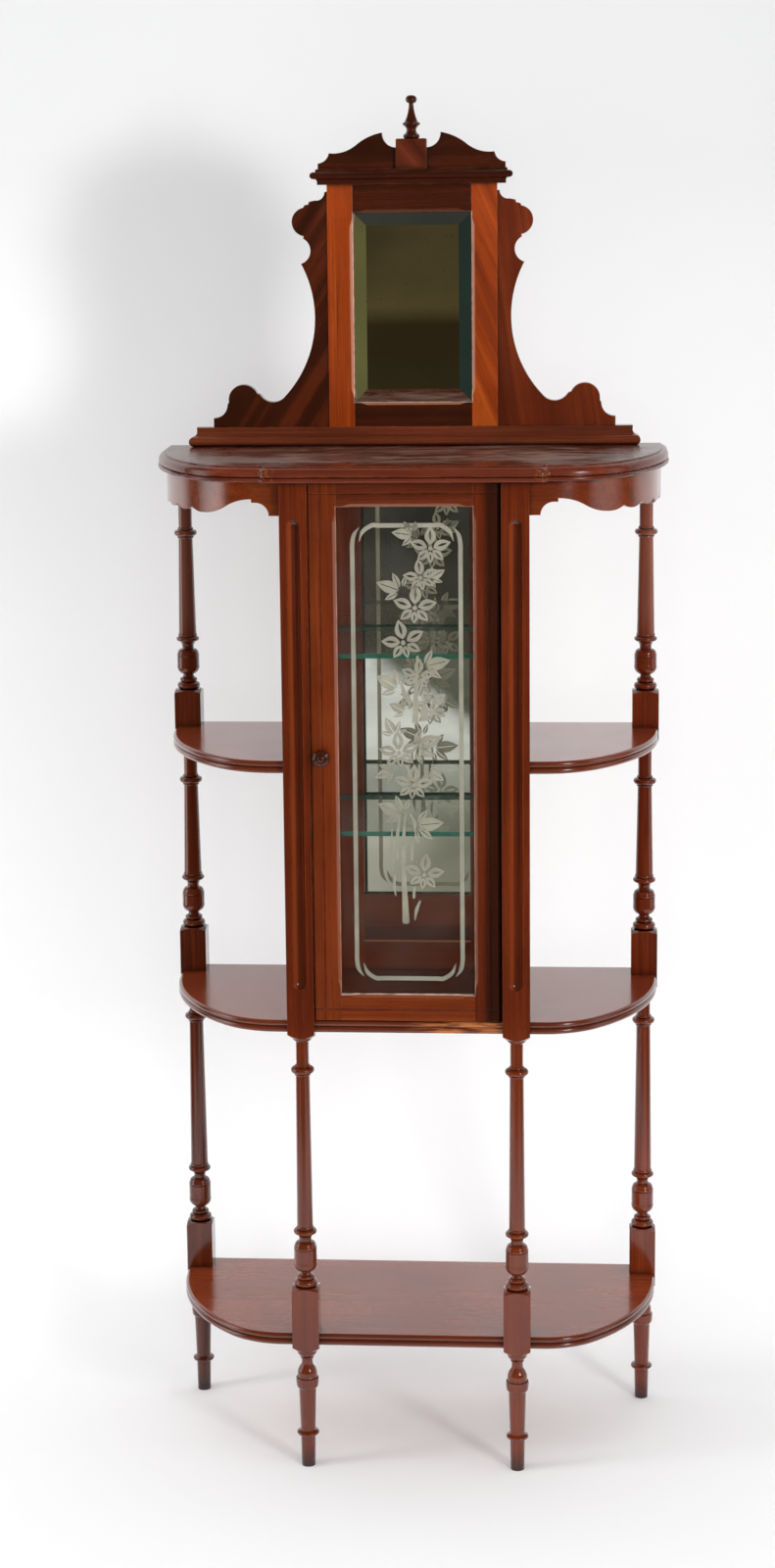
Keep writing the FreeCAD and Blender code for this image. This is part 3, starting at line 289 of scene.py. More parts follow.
def dress(material, *names):
    """Give a finish to solids by name."""
    for name in names:
        slots = part[name].data.materials
        if len(slots):
            slots[0] = material
        else:
            slots.append(material)


def joinery(name, grain, tones, offset, *names, tilt=0.0, figure=0.4, coat=0.25, facets=None):
    """Plain polished piece of joinery, with painted highlights on its chamfers if it borders an opening."""
    wood = Timber(name, grain, tones, offset, tilt, figure).worn().occlusion_darkened()
    if facets:
        wood.lit_facets(*facets)
    dress(wood.polished(coat=coat), *names)


# Half width, foot and head of the openings, with their chamfers
DOOR_OPENING = (0.0892, 0.644, 1.2785)
MIRROR_OPENING = (0.0812, 1.3805, 1.6345)

joinery("cabinet_timber", "z", INSIDE, 1, "cabinet_side_left", "cabinet_side_right",
        "cabinet_back_stile_left", "cabinet_back_stile_right")
joinery("cabinet_rail_timber", "x", INSIDE, 2, "cabinet_back_rail_upper", "end_rail_left", "end_rail_right",
        "glazing_beads")
joinery("door_stile_timber", "z", DOOR, 3, "door_stile_left", facets=(0.14, 0.2, *DOOR_OPENING))
joinery("door_rail_timber", "x", SHADED, 4, "door_rail_upper", facets=(0.2, 0.1, *DOOR_OPENING))
joinery("lower_door_rail_timber", "x", DOOR, 4, "door_rail_lower", facets=(0.14, 0.65, *DOOR_OPENING))
joinery("apron_timber", "x", DOOR, 5, "apron_left", "apron_right", coat=0.7)
joinery("mirror_stile_timber", "z", BRIGHT, 6, "mirror_stile_left", figure=0.3,
        facets=(0.4, 0.5, *MIRROR_OPENING))
joinery("mottled_stile_timber", "z", BRIGHT, 7, "mirror_stile_right", tilt=24, figure=0.6,
        facets=(0.4, 0.5, *MIRROR_OPENING))
joinery("mirror_rail_timber", "x", DEEP, 8, "mirror_rail_lower", facets=(0.35, 0.5, *MIRROR_OPENING))
joinery("upper_rail_timber", "x", DEEP, 8, "mirror_rail_upper", facets=(0.08, 0.1, *MIRROR_OPENING))
joinery("pediment_timber", "x", DARK, 9, "cornice", "pediment_left", "pediment_right")
joinery("gallery_base_timber", "x", DRY, 10, "gallery_base", coat=0.5)
joinery("pediment_block_timber", "z", SHADED, 11, "pediment_block", tilt=38, figure=0.75)
joinery("striped_bracket_timber", "z", STRIPED, 12, "scroll_bracket_left", tilt=-32, figure=0.7)
joinery("bracket_timber", "z", RED, 13, "scroll_bracket_right", tilt=8, figure=0.5)
joinery("dark_turning", "z", DEEP, 14, "finial", "door_knob")

# Lower back rail of the cabinet: heights of its painted highlight line and of the painted shadow over it
PLINTH_HIGHLIGHT = (0.6506, 0.6532)
PLINTH_SHADE = (0.6535, 0.672)


def cabinet_plinth():
    """Lower back rail with a painted highlight line above the cabinet floor and a painted shadow over it."""
    wood = Timber("cabinet_plinth_timber", "x", INSIDE, 2).worn().occlusion_darkened()
    height = wood.axis(wood.coords, 2)
    inner_face = wood.below(wood.axis(wood.geometry["True Normal"], 1), -0.5, 0.1)
    plinth_shadow = wood.window(height, *PLINTH_SHADE, 0.003)
    pale_mark = wood.window(height, *PLINTH_HIGHLIGHT, 0.0004)
    wood.stain(wood.times(inner_face, plinth_shadow, 0.5), GRIME_AND_SHADE)
    wood.stain(wood.times(inner_face, pale_mark, 0.85), shade(196, 132, 96))
    dress(wood.polished(), "cabinet_back_rail_lower")


# Where the painted shadow along the hinge stile's outer edge begins
HINGE_SHADOW = 0.1


def hinge_stile():
    """The door's hinge stile, in a darker tone than the other stile and dark along its outer edge: painted
    shade from the right post.
    """
    wood = Timber("hinge_stile_timber", "z", RED, 3).worn().occlusion_darkened().lit_facets(0.16, 0.3, *DOOR_OPENING)
    hinge_shadow = wood.above(wood.axis(wood.coords, 0), HINGE_SHADOW, 0.006)
    wood.stain(wood.times(hinge_shadow, 0.78), GRIME_AND_SHADE)
    dress(wood.polished(), "door_stile_right")


# Posts: top of the legs, foot and head of the flutes, depth that takes in the fluted face,
# and foot of the back posts' upper length, which carries a painted sheen
LEG_TOP = 0.59
FLUTES = (0.62, 1.35)
FLUTED_FACE = -0.1
UPPER_LENGTH = 1.08


def turned(name, tones):
    """Wood of a turned post, worn on its rings and dark in its quirks."""
    return Timber(name, "z", tones, 15, figure=0.35).worn(0.0018).occlusion_darkened(0.012, 1.0)


def front_posts():
    """Front posts: lighter legs, dark feet, and flutes with one wall shaded and the other lit."""
    wood = turned("post_timber", TURNED)
    height = wood.axis(wood.coords, 2)
    wood.stain(wood.times(wood.below(height, LEG_TOP, 0.02), 0.14), shade(150, 66, 27))
    wood.dark_feet()
    face = wood.below(wood.axis(wood.coords, 1), FLUTED_FACE, 0.003)
    fluted = wood.times(wood.window(height, *FLUTES, 0.005), face)
    lean = wood.axis(wood.geometry["True Normal"], 0)
    shaded_wall = wood.times(wood.window(lean, -0.95, -0.1, 0.15), fluted)
    lit_wall = wood.times(wood.window(lean, 0.35, 0.95, 0.15), fluted)
    # Painted shade on the flute walls facing left and a painted highlight on those facing right
    wood.stain(wood.times(shaded_wall, 0.35), GRIME_AND_SHADE)
    wood.stain(wood.times(lit_wall, 0.3), shade(160, 72, 30))
    dress(wood.polished(0.15, 0.5), "front_post_left", "front_post_right")


def back_post(node, tones, dust_film_and_sheen):
    """Back post: dark at its foot, with a painted sheen on its upper length."""
    wood = turned(node + "_timber", tones).dark_feet()
    upper = wood.above(wood.axis(wood.coords, 2), UPPER_LENGTH, 0.03)
    wood.stain(wood.times(upper, dust_film_and_sheen), DUST_AND_SHEEN)
    dress(wood.polished(0.15, 0.5), node)


def shelf_wood(name, offset):
    """Wood of a level board with painted shade on its moulded edges."""
    return Timber(name, "x", BOARD, offset, figure=0.45).painted_edge_shade(0.5).worn().occlusion_darkened(0.006, 0.6)


# Cabinet floor shelf: run and depth of the lighter arris, bare wood and painted highlight, line and run of
# the crack
PALE_ARRIS_RUN = (0.02, 0.13)
PALE_ARRIS_DEPTH = -0.115
CRACK_LINE = (0.0266, 0.0272)
CRACK_RUN = (0.256, 0.286)


def cabinet_floor():
    """The cabinet's floor shelf, lighter along its front arris as bare wood and a painted highlight, with a
    short crack near its right end.
    """
    wood = shelf_wood("cabinet_floor_timber", 17)
    x = wood.axis(wood.coords, 0)
    y = wood.axis(wood.coords, 1)
    patches = wood.noise(wood.scaled(wood.coords, (30.0, 300.0, 300.0)), detail=4.0)
    pale_mark = wood.ramp(patches, (0.42, 0.0), (0.6, 1.0))
    arris = wood.times(wood.window(x, *PALE_ARRIS_RUN, 0.03), wood.below(y, PALE_ARRIS_DEPTH, 0.002))
    wood.stain(wood.times(arris, pale_mark, 0.8), BARE_AND_HIGHLIGHT)
    wander = wood.math("SUBTRACT", wood.noise(wood.scaled(wood.coords, (70.0, 0.0, 0.0))), 0.5)
    crack = wood.window(wood.math("ADD", y, wood.times(wander, 0.006)), *CRACK_LINE, 0.0003)
    wood.stain(wood.times(crack, wood.window(x, *CRACK_RUN, 0.004)), GRIME_AND_SHADE)
    dress(wood.polished(0.2, 0.6), "cabinet_floor_shelf")


# Top: run and depth of its dusty middle, and its breakfront corners with their front edge
DUSTY_RUN = (-0.25, 0.27)
DUSTY_DEPTH = (-0.10, 0.12)
BREAKFRONT_CORNER = (0.160, 0.182)
BREAKFRONT_EDGE = -0.118


def top_board():
    """The top, dusty and dull in the middle and rubbed at its breakfront corners."""
    wood = Timber("top_board_timber", "x", TOP, 18, figure=0.45).worn(0.002, 0.6).occlusion_darkened()
    x = wood.axis(wood.coords, 0)
    y = wood.axis(wood.coords, 1)
    faces_up = wood.above(wood.axis(wood.geometry["True Normal"], 2), 0.8, 0.1)
    patches = wood.noise(wood.scaled(wood.coords, (11.0, 26.0, 26.0)), detail=7.0, rough=0.72, bend=0.8)
    dust_film_and_sheen = wood.ramp(patches, (0.44, 0.0), (0.60, 1.0))
    middle = wood.times(wood.window(x, *DUSTY_RUN, 0.07), wood.window(y, *DUSTY_DEPTH, 0.03))
    dusty = wood.times(faces_up, dust_film_and_sheen, middle)
    wood.stain(wood.times(dusty, 0.55), DUST_AND_SHEEN)
    wood.dull = wood.math("ADD", wood.times(faces_up, middle, 0.08), wood.times(dusty, 0.3))
    corner = wood.window(wood.math("ABSOLUTE", x), *BREAKFRONT_CORNER, 0.003)
    nicks = wood.ramp(wood.noise(wood.coords, scale=240.0, detail=3.0), (0.5, 0.0), (0.6, 1.0))
    front = wood.below(y, BREAKFRONT_EDGE, 0.003)
    wood.stain(wood.times(corner, front, nicks, 0.12), BARE_AND_HIGHLIGHT)
    dress(wood.polished(0.22, 0.05), "top_board")


cabinet_plinth()
hinge_stile()
front_posts()
# The left back post takes the darker SHADED tone and the right one the lighter tone: painted shade and
# painted light from the right
back_post("back_post_left", SHADED, 0.09)
back_post("back_post_right", LIT_POST, 0.12)
dress(shelf_wood("shelf_timber", 16).polished(0.2, 0.6), "bottom_shelf", "side_shelf_left",
      "side_shelf_right")
cabinet_floor()
top_board()


# Glass, mirror, metal and board

def pane(name, tint, dust, rim_colour=None):
    """Clear plate with the shine of glass at a slant, faint smears and, on a shelf, a tinted rim with a
    faint painted glow.
    """
    f = Finish(name)
    clear = f.add("BsdfTransparent", {"Color": tint})
    shine = f.add("BsdfGlossy", {"Color": WHITE, "Roughness": 0.02})
    haze = f.add("BsdfDiffuse", {"Color": shade(190, 186, 178)})
    outer = f.math("SUBTRACT", 1.0, f.geometry["Backfacing"])
    plate = f.add("MixShader", {0: f.times(f.add("Fresnel", {"IOR": 1.45}), outer), 1: clear, 2: shine})
    smear = f.ramp(f.noise(f.coords, scale=9.0, detail=5.0, rough=0.65), (0.4, dust), (0.8, dust + 0.03))
    plate = f.add("MixShader", {0: smear, 1: plate, 2: haze})
    if rim_colour:
        upright = f.math("ABSOLUTE", f.axis(f.geometry["True Normal"], 2))
        waves = f.ramp(f.noise(f.coords, scale=35.0, detail=3.0), (0.3, 0.7), (0.7, 1.2))
        colour = f.mix(1.0, rim_colour, waves, "MULTIPLY")
        # The rim glows faintly in its own colour: painted light along the shelf's edge
        rim = f.add("BsdfPrincipled", {"Base Color": colour, "Roughness": 0.12, "IOR": 1.5,
                                       "Emission Color": rim_colour, "Emission Strength": 0.12})
        plate = f.add("MixShader", {0: f.math("LESS_THAN", upright, 0.5), 1: plate, 2: rim})
    return f.show(plate)


def looking_glass(name, silver):
    """Old silvered plate with faint specks where the silver has gone."""
    f = Finish(name)
    specks = f.ramp(f.noise(f.coords, scale=420.0), (0.70, 0.0), (0.76, 1.0))
    colour = f.mix(specks, silver, shade(70, 66, 58))
    rough = f.math("ADD", 0.015, f.times(specks, 0.3))
    return f.show(f.add("BsdfPrincipled", {"Base Color": colour, "Metallic": 1.0, "Roughness": rough}))


def metal(name, bright, dull, rough):
    """Drawn metal with fine scratches and dull patches."""
    f = Finish(name)
    scratch = f.noise(f.scaled(f.coords, (2600.0, 2600.0, 260.0)))
    patch = f.ramp(f.noise(f.coords, scale=160.0, detail=4.0), (0.4, 0.0), (0.65, 1.0))
    gloss = f.math("ADD", rough, f.times(scratch, 0.2))
    normal = f.add("Bump", {"Strength": 0.2, "Distance": 0.0001, "Height": scratch})
    return f.show(f.add("BsdfPrincipled", {"Base Color": f.mix(patch, bright, dull), "Metallic": 1.0,
                                           "Roughness": gloss, "Normal": normal}))


def etched():
    """Acid-frosted glass: pale, dull, a little uneven, and lit through from the far side."""
    f = Finish("etched_frost")
    grain = f.noise(f.coords, scale=900.0, detail=3.0)
    cloud = f.noise(f.coords, scale=40.0, detail=3.0)
    colour = f.ramp(f.math("ADD", f.times(grain, 0.5), f.times(cloud, 0.5)),
                    (0.35, shade(172, 169, 152)), (0.65, shade(202, 199, 181)))
    normal = f.add("Bump", {"Strength": 0.3, "Distance": 0.0001, "Height": grain})
    face = f.add("BsdfPrincipled", {"Base Color": colour, "Roughness": 0.8, "Normal": normal})
    through = f.add("BsdfTranslucent", {"Color": colour})
    clear = f.add("BsdfTransparent", {"Color": WHITE})
    frosted = f.add("MixShader", {0: 0.55, 1: face, 2: through})
    return f.show(f.add("MixShader", {0: 0.2, 1: frosted, 2: clear}))


def moulded_plastic():
    """Brown moulded plastic of the catch, with a fine grain."""
    f = Finish("catch_plastic")
    grain = f.noise(f.coords, scale=1400.0)
    colour = f.ramp(grain, (0.3, shade(52, 34, 24)), (0.7, shade(74, 50, 36)))
    normal = f.add("Bump", {"Strength": 0.3, "Distance": 0.0002, "Height": grain})
    return f.show(f.add("BsdfPrincipled", {"Base Color": colour, "Roughness": 0.5, "Normal": normal}))


brass = metal("pivot_brass", shade(196, 158, 92), shade(120, 88, 48), 0.25)
steel = metal("screw_steel", shade(176, 174, 170), shade(96, 92, 88), 0.3)
dress(pane("door_pane", (0.98, 0.99, 0.98, 1.0), 0.004), "door_glass")
dress(pane("shelf_plate", (0.965, 0.985, 0.975, 1.0), 0.06, shade(24, 78, 62)), "glass_shelf_lower",
      "glass_shelf_upper")
dress(looking_glass("silvered_plate", shade(228, 227, 221)), "cabinet_mirror", "gallery_mirror")
dress(Timber("backboard_ply", "z", PLY, 19, figure=0.5).occlusion_darkened(0.006, 0.4).polished(0.7, 0.0),
      "cabinet_backboard", "gallery_backboard")
dress(Timber("dowel_beech", "x", PLY, 20).polished(0.6, 0.0), "shelf_dowels")
dress(brass, "pivot_upper", "pivot_lower", "pivot_bush_upper", "pivot_bush_lower", "shelf_pins_lower",
      "shelf_pins_upper")
dress(steel, "pivot_screws", "knob_screw", "gallery_screws", "catch_strike")
dress(moulded_plastic(), "door_catch")


# Etched drawing, in millimetres across and up the glass

def ribbon(points, widths, steps=40):
    """Flat band along a smooth path: a Catmull-Rom curve through the points, half a width to each side."""
    p = np.asarray(points, float)
    p = np.vstack([2 * p[0] - p[1], p, 2 * p[-1] - p[-2]])
    s = np.linspace(0.0, len(points) - 1.000001, steps)
    i = s.astype(int)
    t = (s - i)[:, None]
    a, b, c, d = p[i], p[i + 1], p[i + 2], p[i + 3]
    square, cube = 2 * a - 5 * b + 4 * c - d, 3 * b - a - 3 * c + d
    line = 0.5 * (2 * b + (c - a) * t + square * t ** 2 + cube * t ** 3)
    way = np.gradient(line, axis=0)
    way /= np.linalg.norm(way, axis=1, keepdims=True)
    side = np.stack([-way[:, 1], way[:, 0]], axis=1)
    half = np.interp(s, np.linspace(0, len(points) - 1, len(widths)), widths)[:, None] / 2
    return np.stack([line - side * half, line + side * half], axis=1)


# Points along a leaf or petal
LEAF_STEPS = 25


def vesica(x, z, angle, length, width, eye=0.0, vein=0.0):
    """Pointed leaf, two bands round a clear eye or vein: half width w sin(pi t^0.85) along length t."""
    t = np.linspace(0.0, 1.0, LEAF_STEPS)
    half = width / 2 * np.sin(np.pi * t ** 0.85)
    hole = eye * width / 2 * np.sin(np.pi * np.clip((t - 0.2) / 0.6, 0, 1)) + vein / 2 * (t < 0.8)
    hole = np.minimum(hole, half)
    a = radians(angle)
    way = np.array([np.cos(a), np.sin(a)])
    side = np.array([-np.sin(a), np.cos(a)])
    middle_line = np.array([x, z]) + t[:, None] * length * way
    left = np.stack([middle_line + hole[:, None] * side, middle_line + half[:, None] * side], axis=1)
    right = np.stack([middle_line - half[:, None] * side, middle_line - hole[:, None] * side], axis=1)
    return [left, right]


# Petals of a blossom: angle in degrees and share of its size
PETALS = ((90, 1.0), (17, 0.95), (-42, 0.75), (-90, 0.62), (-138, 0.75), (163, 0.95))


def blossom(x, z, size, turn):
    """Flower: petals with clear eyes round a small heart, the lower ones shorter."""
    bands = vesica(x, z - 0.12 * size, 90 + turn, 0.24 * size, 0.2 * size)
    for angle, share in PETALS:
        a = radians(angle + turn)
        bands += vesica(x + 0.15 * size * np.cos(a), z + 0.15 * size * np.sin(a), angle + turn,
                        share * size * 0.85, size * 0.5 * share, 0.24)
    return bands


# Leaf and slips of a group: angle in degrees, then start, length and width as shares of its size
SLIPS = ((0, 0.1, 1.0, 0.52), (48, 0.15, 0.62, 0.26), (-46, 0.15, 0.7, 0.28), (-88, 0.2, 0.5, 0.2))


def leaf_group(x, z, size, turn):
    """Broad leaf parted by its vein, with three slips beside it."""
    bands = []
    for angle, start, length, width in SLIPS:
        a = radians(angle + turn)
        bands += vesica(x + start * size * np.cos(a), z + start * size * np.sin(a), angle + turn,
                        length * size, width * size, vein=1.0)
    return bands


def flat_piece(name, layers, y, depth):
    """Thin plate from flat bands of (x, z) in millimetres; each layer lies a hair in front of the last."""
    verts, faces, count = [], [], 0
    for i, bands in enumerate(layers):
        for band in bands:
            n, m, _ = band.shape
            grid = np.empty((n * m, 3))
            grid[:, 0] = band[..., 0].ravel() / 1000
            grid[:, 1] = y - i * depth / 4
            grid[:, 2] = band[..., 1].ravel() / 1000
            k = (np.arange(n - 1)[:, None] * m + np.arange(m - 1)).ravel() + count
            faces.append(np.stack([k, k + m, k + m + 1, k + 1], axis=1))
            verts.append(grid)
            count += n * m
    mesh = bpy.data.meshes.new(name)
    mesh.from_pydata(np.vstack(verts), [], np.vstack(faces).tolist())
    mesh.validate()
    piece = bpy.data.objects.new(name, mesh)
    bpy.context.scene.collection.objects.link(piece)
    solid = piece.modifiers.new("thickness", "SOLIDIFY")
    solid.thickness = depth
    solid.offset = 0.0
    return piece


# Border: a rectangle of four strokes whose hooked ends cross at its corners. Each stroke is given from
# one end to its middle: a barb and a neck as steps along and off the rectangle, then the straight run.
BORDER_HALF, BORDER_LOW, BORDER_HIGH, BORDER_MIDDLE = 67.5, 667.6, 1250.7, 2.0
SIDE_BARB, SIDE_NECK = (8.5, 2.5), (2.2, 12)
SIDE_RUN = (24, 36, 54, 82, 124, 190)
END_BARB, END_NECK = (0, 20), (5, 7.5)
END_RUN = (16, 23, 33, 46)
STROKE_STEPS = 120


def stroke_widths(count):
    """Widths along a border stroke: pointed at both ends and even between."""
    return [0.6, 5.0] + [5.6] * count + [5.0, 0.6]


def border_sides():
    """Two upright strokes, hooked inwards at foot and head."""
    strokes = []
    for s in (-1, 1):
        x = BORDER_MIDDLE + s * BORDER_HALF
        half = [(x - s * inwards, rise) for inwards, rise in (SIDE_BARB, SIDE_NECK)]
        half += [(x, rise) for rise in SIDE_RUN]
        foot = [(across, BORDER_LOW + rise) for across, rise in half]
        head = [(across, BORDER_HIGH - rise) for across, rise in half[::-1]]
        strokes.append(ribbon(foot + head, stroke_widths(2 * len(SIDE_RUN)), STROKE_STEPS))
    return strokes


def border_ends():
    """Two level strokes, hooked towards the middle of the glass."""
    near = BORDER_MIDDLE - BORDER_HALF + SIDE_BARB[0]
    far = BORDER_MIDDLE + BORDER_HALF - SIDE_BARB[0]
    half = [END_BARB, END_NECK] + [(along, 0) for along in END_RUN]
    strokes = []
    for z, up in ((BORDER_LOW, 1), (BORDER_HIGH, -1)):
        start = [(near + along, z + up * rise) for along, rise in half]
        finish = [(far - along, z + up * rise) for along, rise in half[::-1]]
        strokes.append(ribbon(start + finish, stroke_widths(2 * len(END_RUN)), STROKE_STEPS))
    return strokes


# Spray: stems as points and widths, leaves and blossoms as place, size and turn in degrees
STEMS = [([(-2.3, 739), (-2.3, 740.5), (-2.5, 744), (-3.5, 775), (-5, 815), (-4.5, 850), (-2, 884)],
          [2.0, 6.5, 9.0, 7.0, 5.5, 4.5, 1.5]),
         ([(-15, 776), (-17, 790), (-16, 806)], [1.0, 4.4, 3.0]),
         ([(-18, 808), (-20, 836), (-19, 866)], [2.0, 5.0, 0.8]),
         ([(-13, 822), (-12.5, 852), (-9, 882)], [3.6, 4.4, 3.0]),
         ([(5.5, 822), (6, 834), (6.2, 846)], [3.6, 3.8, 3.6]),
         ([(9, 744), (11, 757), (16, 770)], [1.0, 4.6, 2.4]),
         ([(8, 773), (8, 780), (9, 788)], [3.0, 3.6, 3.0]),
         ([(11.5, 1000), (12, 1024), (13, 1050), (15, 1086)], [8.5, 6.5, 5.0, 3.0]),
         ([(22, 1003), (22.5, 1018), (26, 1036)], [7.5, 5.5, 3.0]),
         ([(-6, 1052), (-1, 1036), (6, 1022)], [2.0, 7.0, 3.0]),
         ([(0, 946), (4, 934), (6, 926)], [3.0, 3.6, 2.0]),
         ([(4, 884), (9, 872), (10, 858)], [2.0, 4.6, 1.0]),
         ([(16, 1036), (20, 1048), (22, 1060)], [2.0, 3.4, 1.5])]
LEAVES = [(12, 1238, 26, 172), (-5, 1168, 30, 160), (22, 1072, 32, 14), (-8, 1044, 31, 150),
          (10, 968, 34, 24), (-5, 882, 32, 156), (11, 868, 33, 6), (-14, 984, 24, 118), (0, 1014, 22, 152),
          (31, 1184, 20, 30), (26, 938, 22, -28), (-18, 940, 22, 205)]
BLOSSOMS = [(32, 1222, 28, 0), (20, 1185, 24, 9), (12, 1147, 30, -3), (-2, 1103, 30, 14), (15, 1060, 23, -7),
            (30, 1022, 25, -52), (-9, 962, 28, 6), (8, 920, 27, -5), (21, 804, 28, -7)]
drawing = [[ribbon(points, widths) for points, widths in STEMS],
           [band for leaf in LEAVES for band in leaf_group(*leaf)],
           [band for flower in BLOSSOMS for band in blossom(*flower)]]
glass_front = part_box("door_glass")[0].y
ETCH_DEPTH = 0.00012
frost = etched()
for piece in (flat_piece("etched_border", [border_sides(), border_ends()], glass_front, ETCH_DEPTH),
              flat_piece("etched_spray", drawing, glass_front, ETCH_DEPTH)):
    piece.data.materials.append(frost)
    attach(piece, "door")


# Panel pins behind the mirrors

# Inset and pitch of the pins; radius and rise of a head, its sides, and its rings in degrees
PIN_INSET, PIN_PITCH, PIN_RADIUS, PIN_RISE = 0.005, 0.07, 0.0017, 0.0008
PIN_SIDES, PIN_RINGS = 12, (0.0, 35.0, 65.0)


def pin_heads(places, y):
    """Round pin heads on a back face: radius r cos(v) and height rise sin(v) over a quarter turn of v."""
    n = PIN_SIDES
    last = (len(PIN_RINGS) - 1) * n
    u = np.linspace(0, 2 * np.pi, n, endpoint=False)
    v = np.radians(PIN_RINGS)[:, None]
    across = PIN_RADIUS * np.cos(v)
    rings = np.stack([across * np.cos(u), PIN_RISE * np.sin(v) + 0 * u, across * np.sin(u)], axis=-1)
    head = np.vstack([rings.reshape(-1, 3), [[0.0, PIN_RISE, 0.0]]])
    k = np.arange(n)
    nxt = (k + 1) % n
    quads = np.vstack([np.stack([r * n + k, (r + 1) * n + k, (r + 1) * n + nxt, r * n + nxt], axis=1)
                       for r in range(len(PIN_RINGS) - 1)])
    caps = np.stack([last + k, np.full(n, last + n), last + nxt], axis=1)
    verts = np.vstack([head + (x, y, z) for x, z in places])
    faces = []
    for i in range(len(places)):
        faces += (quads + i * len(head)).tolist() + (caps + i * len(head)).tolist()
    return verts, faces


def pin_places(low, high):
    """Places along the four edges of a board, evenly spaced."""
    x0, x1 = low.x + PIN_INSET, high.x - PIN_INSET
    z0, z1 = low.z + PIN_INSET, high.z - PIN_INSET
    xs = np.linspace(x0, x1, int((x1 - x0) / PIN_PITCH) + 2)
    zs = np.linspace(z0, z1, int((z1 - z0) / PIN_PITCH) + 2)[1:-1]
    return [(x, z) for z in (z0, z1) for x in xs] + [(x, z) for x in (x0, x1) for z in zs]


for board in ("cabinet_backboard", "gallery_backboard"):
    low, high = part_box(board)
    verts, faces = pin_heads(pin_places(low, high), high.y)
    mesh = bpy.data.meshes.new(board + "_pins")
    mesh.from_pydata(verts, [], faces)
    pins = bpy.data.objects.new(board + "_pins", mesh)
    bpy.context.scene.collection.objects.link(pins)
    mesh.materials.append(steel)
    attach(pins, "case")


# Studio

def stage_mesh(name, verts, faces, material):
    """A surface of the studio."""
    mesh = bpy.data.meshes.new(name)
    mesh.from_pydata(verts, [], faces)
    mesh.shade_smooth()
    mesh.materials.append(material)
    piece = bpy.data.objects.new(name, mesh)
    bpy.context.scene.collection.objects.link(piece)
    piece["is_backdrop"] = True
    return piece


# Backdrop: tone by height, as shares of a height, and the part before the stand that stays white in polish
BACKDROP_HEIGHT = 2.0
BACKDROP_TONES = ((0.15, 0.91), (0.5, 0.80), (0.6, 0.74), (0.85, 0.61))
WHITE_HALF, WHITE_FRONT = 1.4, -1.3

# Floor as seen behind glass: tones from its far front towards the stand, as shares of a run, where its
# darker part at the near right begins, and slope and start of its slanting edge
FLOOR_FRONT, FLOOR_RUN = -7.0, 6.0
FLOOR_TONES = ((0.2, shade(180, 180, 180)), (0.42, shade(178, 178, 176)), (0.5, shade(162, 162, 156)),
               (0.6, shade(148, 147, 138)), (0.75, shade(152, 151, 142)))
NEAR_RIGHT_X, NEAR_RIGHT_Y = -0.17, -3.7
EDGE_SLOPE, EDGE_START = 3.4, -4.0


def pale_floor(f, x, y):
    """Pale, uneven floor, darker on the right near the stand and past a slanting edge."""
    waves = f.noise(f.scaled(f.coords, (1.6, 0.9, 1.0)), detail=3.0, bend=0.5)
    waves = f.ramp(waves, (0.38, 1.4), (0.6, 2.0))
    tone = f.ramp(f.math("DIVIDE", f.math("SUBTRACT", y, FLOOR_FRONT), FLOOR_RUN), *FLOOR_TONES)
    near_right = f.times(f.above(x, NEAR_RIGHT_X, 0.1), f.above(y, NEAR_RIGHT_Y, 0.5))
    tone = f.mix(f.times(near_right, 0.75), tone, shade(84, 84, 70))
    slant = f.math("SUBTRACT", y, f.times(x, EDGE_SLOPE))
    slant = f.math("ADD", slant, f.times(f.noise(f.coords, scale=2.2, detail=4.0), 0.8))
    tone = f.mix(f.above(slant, EDGE_START, 0.25), shade(66, 68, 58), tone)
    return f.mix(1.0, tone, waves, "MULTIPLY")


def paper():
    """Pale paper, gone from behind; in polish its far part is a dim floor, and behind glass a pale one."""
    f = Finish("studio_paper")
    x = f.axis(f.coords, 0)
    y = f.axis(f.coords, 1)
    mottle = f.ramp(f.noise(f.coords, scale=1.3, detail=3.0), (0.3, 0.98), (0.7, 1.0))
    tone = f.ramp(f.math("DIVIDE", f.axis(f.coords, 2), BACKDROP_HEIGHT), *BACKDROP_TONES)
    matt = f.add("BsdfDiffuse", {"Color": f.mix(1.0, tone, mottle, "MULTIPLY")})
    behind_glass = f.math("GREATER_THAN", f.add("LightPath", {}, out="Transparent Depth"), 0.5)
    dim = f.add("Emission", {"Color": f.mix(behind_glass, shade(52, 48, 34), pale_floor(f, x, y))})
    reflected = f.add("LightPath", {}, out="Is Glossy Ray")
    near = f.times(f.above(y, WHITE_FRONT, 0.3), f.window(x, -WHITE_HALF, WHITE_HALF, 0.3))
    far = f.math("SUBTRACT", 1.0, near)
    surface = f.add("MixShader", {0: f.times(reflected, far), 1: matt, 2: dim})
    gone = f.add("BsdfTransparent", {"Color": WHITE})
    return f.show(f.add("MixShader", {0: f.geometry["Backfacing"], 1: surface, 2: gone}))


def sweep(half, front, bend, radius, top):
    """Floor that curves up into a wall: straight, quarter circle of the radius, straight, carried across."""
    turn = np.radians(np.linspace(0, 90, 25))
    y = np.concatenate([[front], bend + radius * np.sin(turn), [bend + radius]])
    z = np.concatenate([[0.0], radius * (1 - np.cos(turn)), [top]])
    n = len(y)
    verts = np.concatenate([np.stack([np.full(n, x), y, z], axis=1) for x in (-half, half)])
    k = np.arange(n - 1)
    return verts, np.stack([k, k + n, k + n + 1, k + 1], axis=1).tolist()


